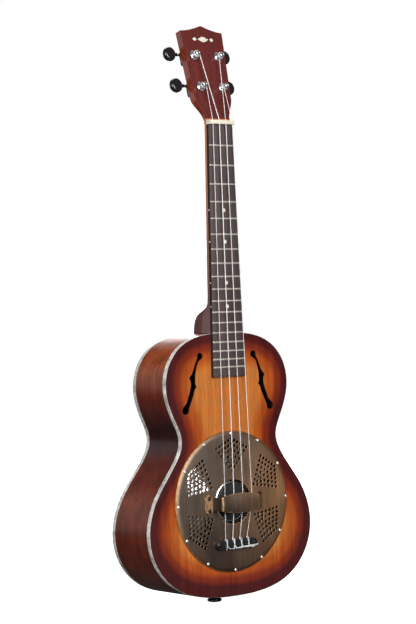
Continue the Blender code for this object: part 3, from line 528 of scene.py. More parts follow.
def makeAntiqueBrass(name, tint=1.0, fineness=1.0):
    # dark brushed plating, rubbed through to gold where the wear attribute says; on the hand rest that gold is a
    # painted highlight and the attribute's values below zero paint shade
    look = brassLook
    made, tree, shader = newMaterial(name, metallic=1.0, specular=0.5)
    shader.inputs["Specular Tint"].default_value = look["grazing"]
    where = objectCoords(tree)
    brush = placeGroup(tree, brushedLines, {"Vector": where, "Fineness": fineness})
    clouds = span(tree, noise(tree, stretched(tree, where, (16, 16, 12)), 1.0, 3.0), 0.3, 0.7)
    tone = maths(tree, "MULTIPLY_ADD", brush["Lines"], 0.35,
                 maths(tree, "MULTIPLY_ADD", brush["Bands"], 0.22, maths(tree, "MULTIPLY", clouds, 0.45)))
    dark, light = (tuple(c * tint for c in look[key]) for key in ("dark", "light"))
    plain = ramp(tree, tone, [(0.15, dark), (0.9, light)])
    # painted sheen: the plating is lighter and warmer towards the treble side; it is also darker towards the foot
    axes = separate(tree, where)
    aside = node(tree, "ShaderNodeMath", {0: maths(tree, "SUBTRACT", axes["Z"], wellZ)},
                 operation="ABSOLUTE").outputs[0]
    paintedSheen = maths(tree, "MULTIPLY", span(tree, axes["X"], -0.02, 0.07), span(tree, aside, 0.10, 0.02))
    withPaintedSheen = blend(tree, 1.0, plain, ramp(tree, paintedSheen, [(0, (1, 1, 1)), (1, look["paintedSheen"])]), "MULTIPLY")
    low = span(tree, axes["Z"], wellZ - 0.08, wellZ - 0.01)
    colour = blend(tree, 1.0, withPaintedSheen, ramp(tree, low, [(0, look["foot"]), (1, (1, 1, 1))]), "MULTIPLY")
    wearAndPaintedLight = node(tree, "ShaderNodeAttribute", attribute_name="wearAndPaintedLight").outputs["Fac"]
    broken = span(tree, noise(tree, stretched(tree, where, (500, 500, 200)), 1.0, 4.0), 0.25, 0.6)
    wearAndHighlight = maths(tree, "MULTIPLY", span(tree, wearAndPaintedLight, 0.25, 0.85), broken, clamp=True)
    # painted shade: below zero the attribute darkens the plating, on the hand rest's legs
    paintedShade = blend(tree, maths(tree, "MULTIPLY", wearAndPaintedLight, -1.0, clamp=True), colour, look["paintedShade"])
    gold = blend(tree, wearAndHighlight, paintedShade, look["rubbedAndHighlight"])
    gloss = placeGroup(tree, handling, {"Vector": where, "Amount": 0.14, "Base": look["roughness"]})
    smooth = maths(tree, "ADD", gloss["Roughness"], maths(tree, "MULTIPLY", wearAndHighlight, 0.05))
    wire(tree, shader, gold, smooth, brush["Lines"], look["lineBump"], 0.05 * mm)
    return made


def makeSpunMetal(name, light, dark, roughness, lines):
    # rings about the middle of the cone, as a spinning tool leaves them
    made, tree, shader = newMaterial(name, metallic=1.0)
    where = objectCoords(tree)
    centred = stretched(tree, where, (1, 0, 1), centre=(0, 0, -wellZ))
    radius = node(tree, "ShaderNodeVectorMath", {0: centred}, operation="LENGTH").outputs["Value"]
    rings = noise(tree,
                  node(tree, "ShaderNodeCombineXYZ",
                       {"X": maths(tree, "MULTIPLY", radius, lines)}).outputs[0], 1.0, 3.0, 0.7)
    tone = span(tree, rings, 0.3, 0.7)
    gloss = placeGroup(tree, handling, {"Vector": where, "Amount": 0.12, "Base": roughness})
    wire(tree, shader, ramp(tree, tone, [(0, dark), (1, light)]), gloss["Roughness"], tone, 0.8, 0.22 * mm)
    return made


def makePlated(name, colour, roughness, amount=0.08, metallic=1.0, grain=0.0, coat=0.0):
    made, tree, shader = newMaterial(name, metallic=metallic, coat=coat)
    where = objectCoords(tree)
    gloss = placeGroup(tree, handling, {"Vector": where, "Amount": amount, "Base": roughness})
    tone = ramp(tree, gloss["Smears"], [(0, colour), (1, tuple(c * 0.82 for c in colour))])
    dimples = noise(tree, stretched(tree, where, (1400, 1400, 1400)), 1.0, 2.0)
    wire(tree, shader, tone, gloss["Roughness"], dimples, grain or 0.03, 0.02 * mm)
    return made


def makeNylon():
    made, tree, shader = newMaterial("whiteNylon", subsurface=0.15, specular=0.6, ior=1.53)
    where = objectCoords(tree)
    drawn = span(tree, noise(tree, stretched(tree, where, (2500, 2500, 60)), 1.0, 2.0), 0.3, 0.7)
    colour = ramp(tree, drawn, [(0, (0.72, 0.71, 0.70)), (1, (0.88, 0.87, 0.86))])
    gloss = placeGroup(tree, handling, {"Vector": where, "Amount": 0.1, "Base": 0.24})
    wire(tree, shader, colour, gloss["Roughness"], drawn, 0.05, 0.02 * mm)
    return made


burstTop = makeBurstTop()
burstSide = makeBurstSide()
holeEdge = makeStainedWood("blackenedHoleEdge", (0.012, 0.008, 0.007), (0.03, 0.018, 0.014), 0.2, 0.5)
burstRim = makeStainedWood("burstLacquerEdge", (0.030, 0.006, 0.006), (0.060, 0.012, 0.010), 0.6, 0.25)
# the neck carries a painted sheen towards the nut end
neckWood = makeStainedWood("redMahoganyNeck", (0.070, 0.013, 0.012), (0.170, 0.034, 0.020),
                           paintedSheenBand=(topZ + 30 * mm, nutZ - 40 * mm, (0.780, 0.240, 0.065)))
headSideWood = makeStainedWood("headstockEdgeMahogany", (0.130, 0.014, 0.006), (0.360, 0.048, 0.011), 0.6,
                               0.24)
headFaceWood = makeStainedWood("headstockFaceMahogany", (0.075, 0.014, 0.012), (0.150, 0.024, 0.020), 0.6,
                               0.24)
boardWood = makeStainedWood("oiledRosewood", (0.040, 0.026, 0.024), (0.105, 0.072, 0.068), 0.0, 0.46)
boardEdge = makeStainedWood("boardEdgeBlack", (0.006, 0.005, 0.006), (0.014, 0.012, 0.013), 0.0, 0.55)
ebonised = makeStainedWood("ebonisedMaple", (0.012, 0.011, 0.012), (0.030, 0.026, 0.028), 0.2, 0.38)
rawWood = makeRawWood()
backWood = makeStainedWood("sunburstMahoganyBack", (0.120, 0.026, 0.012), (0.360, 0.092, 0.032), 0.3, 0.32)
# painted shade: the sound well is stained near black so that the holes in the coverplate read dark
paintedShadeWell = makeStainedWood("paintedShadeWellWood", (0.006, 0.006, 0.008), (0.016, 0.016, 0.020), 0.0, 0.6)
bindingPearl = makePearl("bindingPearloid", (0.86, 0.84, 0.80), (0.38, 0.35, 0.32), 210.0)
inlayPearl = makePearl("inlayPearl", (0.86, 0.83, 0.74), (0.62, 0.58, 0.48), 420.0, 0.2)
boneFinish = makePearl("polishedBone", (0.83, 0.78, 0.66), (0.74, 0.67, 0.52), 60.0, 0.3)
coverBrass = makeAntiqueBrass("antiqueBrassCover")
restBrass = makeAntiqueBrass("antiqueBrassRest", 0.68, 0.3)
coneMetal = makeSpunMetal("spunAluminium", (0.92, 0.92, 0.93), (0.70, 0.70, 0.72), 0.20, 900.0)
fretMetal = makePlated("fretNickelSilver", (0.92, 0.87, 0.77), 0.38, 0.08, 0.7)
chrome = makePlated("polishedChrome", (0.95, 0.95, 0.96), 0.14, 0.08, 0.92)
blackScrew = makePlated("blackenedScrew", (0.05, 0.045, 0.04), 0.30)
coverScrewMetal = makePlated("nickelScrew", (0.95, 0.93, 0.89), 0.32, 0.08, 0.85)
gearBrass = makePlated("gearBrass", (0.66, 0.46, 0.17), 0.26)
housingBlack = makePlated("blackHousing", (0.020, 0.020, 0.022), 0.26, 0.12, 0.4, 0.05, 0.3)
buttonBlack = makePlated("blackButton", (0.011, 0.011, 0.013), 0.16, 0.08, 0.0, 0.0, 0.4)
tieBlack = makePlated("blackTieBlock", (0.014, 0.013, 0.014), 0.30, 0.12, 0.0, 0.12, 0.1)
nylon = makeNylon()
print("materials made:", len(bpy.data.materials))


# The body

bodyShape = {
    "foot": ((44, 3), (80, 15.2)),  # x and height over the foot, in mm
    "bridge": ((108, -68.1), (117.4, -31.6), (108, 3.9), (82.5, 40.9), (68.9, 71)),  # over the saddle
    "joint": ((77.6, -96.8), (88.5, -60.4), (82.6, -33.7), (64.6, -13.4), (32, -1.8)),  # over the neck joint
    "count": 256, "plate": 2.6 * mm, "side": 2.2 * mm, "bindingHeight": 6 * mm, "bindingThickness": 1.5 * mm,
    "edgeRound": 0.5 * mm, "cell": 2.2 * mm,
}


def smoothLoop(points, count):
    # points along a closed cubic spline, with the outward normal at each
    p = np.array(points)
    n = len(p)
    step = np.linalg.norm(np.roll(p, -1, axis=0) - p, axis=1)
    before = np.roll(step, 1)
    system, right = np.zeros((n, n)), np.zeros((n, 2))
    for i in range(n):
        j, k = (i + 1) % n, (i - 1) % n
        system[i, k] += before[i]
        system[i, i] += 2 * (before[i] + step[i])
        system[i, j] += step[i]
        right[i] = 6 * ((p[j] - p[i]) / step[i] - (p[i] - p[k]) / before[i])
    bend = np.linalg.solve(system, right)
    knots = np.concatenate([[0], np.cumsum(step)])
    spots, normals = [], []
    for t in np.linspace(0, knots[-1], count, endpoint=False):
        i = min(int(np.searchsorted(knots, t, side="right")) - 1, n - 1)
        j, h, u = (i + 1) % n, step[i], t - knots[i]
        slope = (p[j] - p[i]) / h - h * (2 * bend[i] + bend[j]) / 6
        spots.append(p[i] + slope * u + bend[i] * u**2 / 2 + (bend[j] - bend[i]) * u**3 / (6 * h))
        way = slope + bend[i] * u + (bend[j] - bend[i]) * u**2 / (2 * h)
        normals.append(np.array([way[1], -way[0]]) / np.linalg.norm(way))
    return np.array(spots), np.array(normals)


def bodyLoop(inset=0.0):
    stretches = ((tailZ, "foot"), (saddleZ, "bridge"), (topZ, "joint"))
    half = [(x * mm, level + z * mm) for level, key in stretches for x, z in bodyShape[key]]
    points = [(0, tailZ), *half, (0, topZ), *[(-x, z) for x, z in reversed(half)]]
    spots, normals = smoothLoop(points, bodyShape["count"])
    return [tuple(spot - normal * inset) for spot, normal in zip(spots, normals)]


def backY(z, depth=0.0):
    return backPoint.y - (z - backPoint.z) * backNormal.z / backNormal.y - depth


def hoop(outer, inner, low, high):
    # a band between two outlines, its four corner loops bridged in turn
    corners = ((outer, low), (outer, high), (inner, high), (inner, low))
    bm = bmesh.new()
    loops = [loopEdges(bm, [(x, level(z), z) for x, z in outline]) for outline, level in corners]
    for first, second in zip(loops, loops[1:] + loops[:1]):
        bmesh.ops.bridge_loops(bm, edges=first + second)
    bmesh.ops.recalc_face_normals(bm, faces=bm.faces)
    return bm, loops


soundHole = {
    "centre": -71.4,  # from the neck joint, in mm, as all of this
    "eyes": ((38.8, 45.4, 4.0), (61.5, -15.3, 4.8)),
    "outer": ((41.9, 44.5), (44.3, 40.8), (46.4, 36.5), (48.1, 32.1), (49.9, 27.8), (51.9, 24.7),
              (53.6, 22.9),
              (55.3, 21.1), (53.8, 19.1), (53.1, 16.5), (52.9, 13.4), (53.7, 9), (55.2, 4.7), (57, 0.3),
              (58.4, -4), (60.1, -7.7), (62.6, -9.4), (63.5, -13.5)),
    "inner": ((37.5, 43), (39, 40.6), (41.1, 39.4), (42.7, 36.3), (44, 32.6), (45.1, 28.2), (46, 23.8),
              (46.5, 19.4), (46.5, 15.6), (46.1, 13.1), (44.8, 10.7), (46.3, 9), (47.6, 7.4), (48.6, 4.3),
              (49.8, 0.6), (51.6, -3.1), (53.3, -6.8), (55.1, -10.5), (56.8, -14.2), (58.2, -16.6),
              (59.9, -19)),
}


def soundHoleCutters(side):
    level = topZ + soundHole["centre"] * mm
    depth = (frontY - 5 * mm, frontY + 8 * mm)
    cutters = []
    for x, z, radius in soundHole["eyes"]:
        ring = [((side * x + radius * math.cos(a)) * mm, level + (z + radius * math.sin(a)) * mm)
                for a in np.linspace(0, math.tau, 32, endpoint=False)]
        cutters.append(slab(ring, *depth))
    stem = soundHole["outer"] + tuple(reversed(soundHole["inner"]))
    cutters.append(slab([(side * x * mm, level + z * mm) for x, z in stem], *depth))
    return cutters


def buildSoundboard():
    inset, cell = bodyShape["bindingThickness"], bodyShape["cell"]
    outline = bodyLoop(inset)
    halfWidth = max(x for x, z in outline) + cell
    middle = (tailZ + topZ) / 2
    reach = bodyLength / 2 + cell
    sheet = bmesh.new()
    bmesh.ops.create_grid(sheet, x_segments=int(2 * halfWidth / cell), y_segments=int(2 * reach / cell),
                          size=1,
                          matrix=Matrix.Rotation(math.radians(90), 4, "X"))
    bmesh.ops.scale(sheet, vec=(halfWidth, 1, reach), verts=sheet.verts)
    bmesh.ops.translate(sheet, vec=(0, frontY, middle), verts=sheet.verts)
    grown = bmesh.ops.extrude_face_region(sheet, geom=sheet.faces[:])
    moved = [item for item in grown["geom"] if isinstance(item, bmesh.types.BMVert)]
    bmesh.ops.translate(sheet, vec=(0, bodyShape["plate"], 0), verts=moved)
    bmesh.ops.recalc_face_normals(sheet, faces=sheet.faces)
    board = carve(sheet, [slab(outline, frontY - 9 * mm, frontY + 9 * mm)], "INTERSECT")
    cutters = [rod(wellRadius, -10 * mm, 10 * mm, 96, facing(0, wellZ))]
    for side in (-1, 1):
        cutters += soundHoleCutters(side)
    board = carve(board, cutters)
    for face in board.faces:
        face.material_index = int(abs(face.normal.y) < 0.5)
    edge = np.array(bodyLoop())
    layer = board.verts.layers.float.new("edgeDistance")
    for vert in board.verts:
        vert[layer] = float(np.min(np.hypot(edge[:, 0] - vert.co.x, edge[:, 1] - vert.co.z)))
    addPiece("soundboardTop", board, [burstTop, holeEdge], ["soundboard"], angle=20)


def buildShell():
    shape = bodyShape
    tall, thick = shape["bindingHeight"], shape["bindingThickness"]
    edge, within, wall = bodyLoop(), bodyLoop(thick), bodyLoop(shape["side"])
    bands = (("bindingFront", lambda z: frontY, lambda z: frontY + tall, "front_binding"),
             ("bindingBack", lambda z: backY(z), lambda z: backY(z, tall), "back_binding"))
    for name, low, high, stands in bands:
        band, loops = hoop(edge, within, low, high)
        for face in band.faces:
            flat = abs(face.normal.y) > 0.9 and abs(face.calc_center_median().y
                                                    - low(face.calc_center_median().z)) < 1e-4
            face.material_index = int(flat)
        roundEdges(band, [e for e in loops[0] if e.is_valid], shape["edgeRound"], 3)
        addPiece(name, band, [bindingPearl, burstRim], [stands], angle=30)
    sides, loops = hoop(edge, wall, lambda z: frontY + tall, lambda z: backY(z, tall))
    addPiece("bentSides", sides, burstSide, ["rim"])
    plate = slab(bodyLoop(thick), lambda z: backY(z), lambda z: backY(z, shape["plate"]))
    addPiece("backPlate", plate, backWood, ["back"])


def dressInside():
    for name in ("neck_block", "tail_block", "front_lining", "back_lining", "back_brace", "sound_well"):
        frame["nodes"][name].data.materials.clear()
        # the sound well takes the near-black painted shade
        frame["nodes"][name].data.materials.append(paintedShadeWell if name == "sound_well" else rawWood)


buildSoundboard()
buildShell()
dressInside()
print("body built")


# Neck, headstock, fretboard and nut

neckShape = {
    "depthNut": 14 * mm, "depthHeel": 17 * mm, "heelReach": 26 * mm, "heelBlend": 7 * mm,
    "rings": 56, "girth": 24, "headThickness": 11.5 * mm, "edge": 0.7 * mm, "squareCorner": 0.06,
    "throatRoot": 9 * mm, "throatSwell": 2.2 * mm,
    "shoulder": (26.3 * mm, 30 * mm), "corner": (30 * mm, 109.5 * mm), "peak": 116.8 * mm,
}
boardLow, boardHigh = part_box("fretboard")
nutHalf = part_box("nut")[1].x
postOne = joints["post_1_turn"]
headOut = Vector(postOne["axis"])
headAlong = headOut.cross(Vector((1, 0, 0)))
headRoot = Vector((0, frontY + 1 * mm, nutTopZ))


def headFrame():
    # x across the headstock, y along it to the tip, z out of its face
    return Matrix(((1, headAlong.x, headOut.x, headRoot.x), (0, headAlong.y, headOut.y, headRoot.y),
                   (0, headAlong.z, headOut.z, headRoot.z), (0, 0, 0, 1)))


def boardHalf(z):
    return nutHalf + (boardHigh.x - nutHalf) * (nutZ - z) / (nutZ - boardLow.z)


def arch(halfWidth, depth, fullness):
    # half an ellipse; a fullness near 0 fills its corners out to a rectangle
    spots = []
    for a in np.linspace(0, math.pi, neckShape["girth"] + 1):
        x = math.copysign(abs(math.cos(a)) ** fullness, math.cos(a))
        spots.append((halfWidth * x, depth * max(math.sin(a), 0) ** fullness))
    return spots


def headRings():
    # from the round throat at the nut, past the shoulders to the pointed crown
    shape = neckShape
    x1, s1 = shape["shoulder"]
    x2, s2 = shape["corner"]
    thick, square = shape["headThickness"], shape["squareCorner"]
    stations = []
    for s in np.linspace(-shape["throatRoot"], s1, 20):
        share = max(s / s1, 0)
        ease = share**2 * (3 - 2 * share)
        half = nutHalf + (x1 - nutHalf) * (1 - math.cos(math.pi * share)) / 2
        stations.append((half, s, thick + shape["throatSwell"] * (1 - ease), 1 - (1 - square) * ease))
    for share in np.linspace(1, 0.02, 22):
        stations.append((x2 * share, s2 + (shape["peak"] - s2) * (1 - share) ** 1.7, thick, square))
    turn = headFrame()
    return [[turn @ Vector((x, s, -y)) for x, y in arch(half, deep, fullness)]
            for half, s, deep, fullness in stations]


def neckRings():
    shape = neckShape
    heelTop = topZ + shape["heelReach"]
    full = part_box("neck")[1].y - frontY
    rings = []
    near = np.linspace(topZ, heelTop + 22 * mm, 30)
    far = np.linspace(heelTop + 22 * mm, nutTopZ + 2 * mm, shape["rings"] - 29)[1:]
    for z in [*near, *far]:
        share = (nutZ - z) / (nutZ - topZ)
        plain = shape["depthNut"] + (shape["depthHeel"] - shape["depthNut"]) * share
        rise = 1 / (1 + math.exp((z - heelTop) / (0.32 * shape["heelBlend"])))
        deep = plain + (full - plain) * rise * (1 - 0.25 * ((z - topZ) / shape["heelReach"]) ** 2 * rise)
        section = arch(boardHalf(z), deep, 1 - 0.2 * rise)
        rings.append([(x * (1 - 0.45 * rise * y / full), frontY + 0.05 * mm + y, z) for x, y in section])
    return rings


def buildNeck():
    shaft = lofted(neckRings())
    head = lofted(headRings())
    flat = headFrame().inverted()
    rim = [edge for edge in head.edges if all(abs((flat @ vert.co).z) < 0.01 * mm for vert in edge.verts)
           and edge.calc_face_angle(0) > 0.5]
    roundEdges(head, rim, neckShape["edge"], 3)
    whole = carve(shaft, [head], "UNION")
    seat = brick((-60 * mm, frontY - 40 * mm, nutZ - 60 * mm), (60 * mm, frontY + 0.05 * mm, nutTopZ))
    bores = [rod(4.6 * mm, -30 * mm, 20 * mm, 24, postFrame(i)) for i in range(1, 5)]
    whole = carve(whole, [seat, *bores])
    for face in whole.faces:
        middle = headFrame().inverted() @ face.calc_center_median()
        front = face.normal.dot(headOut) > 0.8 and middle.z > -1.5 * mm and middle.y > -1 * mm
        edge = middle.y > 2 * mm and face.normal.dot(headOut) > -0.5
        face.material_index = 1 if front else 2 if edge else 0
    addPiece("neckAndHeadstock", whole, [neckWood, headFaceWood, headSideWood], ["neck"],
             angle=30)


def postFrame(number):
    # the headstock's face at a post, z along the post
    spot = Vector(joints[f"post_{number}_turn"]["pos_m"])
    made = headFrame()
    made.translation = spot
    return made


boardDetails = {
    "bevel": 0.5 * mm, "fretCount": 18, "fretWidth": 2.0 * mm, "fretHeight": 1.0 * mm,
    "dots": (5, 7, 10, 12), "dotRadius": 2.2 * mm, "sideDotRadius": 1.0 * mm,
}


def fretZ(number):
    return saddleZ + scaleLength * 2 ** (-number / 12)


def buildFretboard():
    top = boardLow.y
    outline = [(-boardHigh.x, boardLow.z), (boardHigh.x, boardLow.z), (nutHalf, nutZ), (-nutHalf, nutZ)]
    board = slab(outline, top, frontY)
    roundEdges(board, [e for e in board.edges if all(abs(v.co.y - top) < 1e-6 for v in e.verts)],
               boardDetails["bevel"], 3)
    for face in board.faces:
        face.material_index = int(abs(face.normal.x) > 0.75)
    addPiece("fretboardRosewood", board, [boardWood, boardEdge], ["fretboard"])
    bars = []
    for number in range(1, boardDetails["fretCount"] + 1):
        z = fretZ(number)
        half = boardHalf(z) - 0.3 * mm
        bar = bmesh.new()
        bmesh.ops.create_cone(bar, cap_ends=True, segments=16, radius1=1, radius2=1, depth=2 * half,
                              matrix=Matrix.Rotation(math.radians(90), 4, "Y"))
        bmesh.ops.scale(bar, vec=(1, boardDetails["fretHeight"], boardDetails["fretWidth"] / 2),
                        verts=bar.verts)
        bmesh.ops.bisect_plane(bar, geom=bar.verts[:] + bar.edges[:] + bar.faces[:],
                               plane_co=(0, 0.25 * mm, 0),
                               plane_no=(0, 1, 0), clear_outer=True)
        bmesh.ops.holes_fill(bar, edges=bar.edges)
        for vert in bar.verts:
            crest = max(0.0, -vert.co.y / boardDetails["fretHeight"])
            vert.co.x -= math.copysign(0.5 * mm * crest, vert.co.x)
        bmesh.ops.translate(bar, vec=(0, top, z), verts=bar.verts)
        bars.append(bar)
    addPiece("frets", joinMeshes(bars), fretMetal)
    dots = []
    for number in boardDetails["dots"]:
        z = (fretZ(number) + fretZ(number - 1)) / 2
        dots.append(rod(boardDetails["dotRadius"], 0, 0.03 * mm, 28, facing(0, z, frontY - top)))
        side = Matrix.Translation((-boardHalf(z) - 0.03 * mm, frontY - (frontY - top) / 2,
                                   z)) @ Matrix.Rotation(math.radians(90), 4, "Y")
        dots.append(rod(boardDetails["sideDotRadius"], 0, 0.3 * mm, 20, side))
    addPiece("positionDots", joinMeshes(dots), inlayPearl)


def buildNut():
    low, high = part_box("nut")
    side = high.x - 0.3 * mm
    nut = brick((-side, low.y + 0.3 * mm, low.z), (side, frontY + 0.05 * mm, high.z))
    crown = [e for e in nut.edges if all(abs(v.co.y - low.y - 0.3 * mm) < 1e-6 for v in e.verts)]
    roundEdges(nut, crown, 1.3 * mm, 4)
    slots = []
    for x, z, y, radius in nutSlots():
        slots.append(rod(radius + 0.05 * mm, -12 * mm, 12 * mm, 16,
                         Matrix.Translation((x, y, z)) @ Matrix.Rotation(math.radians(-4), 4, "X")))
    addPiece("boneNut", carve(nut, slots), boneFinish, ["nut"], angle=40)


def nutSlots():
    made = []
    for index, diameter in enumerate(stringShape["diameters"]):
        made.append((stringX(index, stringShape["nutSpacing"]), (nutZ + nutTopZ) / 2,
                     frontY - stringShape["overNut"] + 0.1 * mm, diameter / 2))
    return made


def buildInlay():
    # a plain lozenge between two small diamonds
    turn = headFrame() @ Matrix(((1, 0, 0, 0), (0, 0, 1, 0), (0, 1, 0, 0), (0, 0, 0, 1)))
    shapes = ((0, 7.6 * mm, 3.5 * mm), (-12.2 * mm, 2.9 * mm, 2.3 * mm), (12.2 * mm, 2.9 * mm, 2.3 * mm))
    parts = []
    for x, wide, tall in shapes:
        outline = []
        for a in np.linspace(0, math.tau, 32, endpoint=False):
            c, s = math.cos(a), math.sin(a)
            outline.append((x + wide * math.copysign(abs(c) ** 1.7, c),
                            99.5 * mm + tall * math.copysign(abs(s) ** 1.7, s)))
        parts.append(slab(outline, -0.3 * mm, 0.04 * mm, turn))
    addPiece("headstockInlay", joinMeshes(parts), inlayPearl)


stringShape = {
    "diameters": (0.71 * mm, 1.02 * mm, 0.84 * mm, 0.71 * mm), "nutSpacing": 9.4 * mm,
    "saddleSpacing": 13.1 * mm,
    "tieSpacing": 10.4 * mm, "overNut": 8 * mm, "overSaddle": 12.8 * mm, "overTie": 5.9 * mm,
}


def stringX(index, spacing):
    return (index - 1.5) * spacing


buildNeck()
buildFretboard()
buildNut()
buildInlay()
print("neck built")


# Resonator: cone, biscuit and saddle

coneShape = {"seat": 21.3 * mm, "bead": 23.7 * mm, "beadHeight": 3.5 * mm, "ripple": 0.45 * mm,
             "ripples": 8, "wall": 0.9 * mm}


def buildCone():
    # flat seat for the biscuit inside a raised bead, a rippled slope and a flat foot
    low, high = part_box("cone")
    radius = high.x
    base, crest = frontY - high.y, frontY - low.y  # heights of the foot and of the bead over the soundboard
    shape = coneShape
    wall, seat = shape["wall"], crest - shape["beadHeight"]
    foot = radius - 5.5 * mm
    upper = [(1.5 * mm, seat), (shape["seat"] - 0.2 * mm, seat), (shape["seat"], seat + 0.2 * mm)]
    for share, drop in ((0, 0.5), (0.05, 0.1), (0.12, 0), (0.3, 0.14), (0.6, 0.46), (1, 0.95)):
        upper.append((shape["seat"] + (shape["bead"] - shape["seat"]) * share, crest - drop * mm))
    start = upper[-1]
    slopeFrom = len(upper)
    for i in range(1, 49):
        share = i / 48
        wave = shape["ripple"] * math.sin(share * math.tau * shape["ripples"])
        slope = start[1] + (base + wall - start[1]) * share ** 0.92
        upper.append((start[0] + (foot - start[0]) * share, slope + wave * min(1, 8 * share * (1 - share))))
    upper += [(radius, base + wall), (radius, base)]
    lower = [(r, h - wall) for r, h in reversed(upper[slopeFrom:-2])]
    hollow = shape["seat"] + wall
    lower += [(hollow + 0.3 * mm, start[1] - wall), (hollow, start[1] - wall), (hollow, seat - wall),
              (1.5 * mm, seat - wall)]
    addPiece("spunCone", spun(upper + [(foot - 1 * mm, base)] + lower, 144, facing(0, wellZ), ring=True),
             coneMetal, ["cone"], angle=50)
    print("cone spun")


def buildBiscuit():
    low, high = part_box("biscuit")
    bottom, top = frontY - high.y, frontY - low.y
    disc = spun(roundedProfile(high.x, bottom, top, 0.8 * mm), 96, facing(0, wellZ))
    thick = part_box("saddle")[1].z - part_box("saddle")[0].z
    saddleLow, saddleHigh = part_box("saddle")
    slot = brick((-30 * mm, frontY - 40 * mm, saddleLow.z - 0.05 * mm),
                 (30 * mm, saddleHigh.y, saddleHigh.z + 0.05 * mm))
    addPiece("biscuitDisc", carve(disc, [slot]), ebonised, ["biscuit"])
    blade = brick(saddleLow, saddleHigh)
    crown = [e for e in blade.edges if all(abs(v.co.y - saddleLow.y) < 1e-6 for v in e.verts)]
    roundEdges(blade, crown, thick * 0.42, 4)
    addPiece("saddleBlade", blade, boneFinish, ["saddle"])
    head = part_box("biscuit_screw")
    addPiece("biscuitScrew",
             screwMesh(3.3 * mm, 1.9 * mm,
                       Matrix.Translation((0, head[1].y, wellZ)) @ Matrix.Rotation(math.radians(-90), 4,
                               "X") @ Matrix.Translation((0, 0, -2 * mm))),
             blackScrew, ["biscuit_screw"])


def screwMesh(radius, height, matrix, turn=0.0, deep=0.55):
    # a domed head with a cross recess; z out of the head, seat at z = 0
    profile = [(0, -1.5 * mm), (radius * 0.5, -1.5 * mm), (radius * 0.5, 0), (radius, 0),
               (radius, height * 0.3)]
    for i in range(1, 7):
        a = math.radians(15 * i)
        profile.append((radius * math.cos(a), height * (0.3 + 0.7 * math.sin(a))))
    profile[-1] = (0, height)
    head = spun(profile, 20)
    wide, arm = radius * 0.16, radius * 0.52
    cross = [brick((-arm, -wide, height * (1 - deep)), (arm, wide, height * 1.5)),
             brick((-wide, -arm, height * (1 - deep)), (wide, arm, height * 1.5))]
    made = carve(head, cross)
    bmesh.ops.transform(made, matrix=matrix @ Matrix.Rotation(turn, 4, "Z"), verts=made.verts)
    return made


buildCone()
buildBiscuit()
print("resonator built")


# The pierced coverplate

coverShape = {
    "hole": 25.4 * mm, "sheet": 0.8 * mm, "lip": 1.6 * mm, "screwCircle": 78.6 * mm, "screws": 12,
    "tip": 35.6 * mm, "side": 65.3 * mm, "sideAngle": 19.3, "top": 72.5 * mm,
    "rows": (1, 2, 3, 3, 4, 5, 6), "angles": (90, 30, -30, 150, 210), "punch": 1.75 * mm,
    "punchLip": 0.3 * mm,
}


def kiteHoles():
    shape = coverShape
    tip, top = Vector((shape["tip"], 0)), Vector((shape["top"], 0))
    swing = math.radians(shape["sideAngle"])
    side = Vector((shape["side"] * math.cos(swing), shape["side"] * math.sin(swing)))
    spots = []
    for row, count in enumerate(shape["rows"]):
        share = row / (len(shape["rows"]) - 1)
        middle, end = tip.lerp(top, share), tip.lerp(side, share)
        for i in range(count):
            spot = middle.lerp(end, i / max(count - 1, 1))
            spots.append(spot)
            if i:
                spots.append(Vector((spot.x, -spot.y)))
    return [Matrix.Rotation(math.radians(angle), 2) @ spot for angle in shape["angles"] for spot in spots]


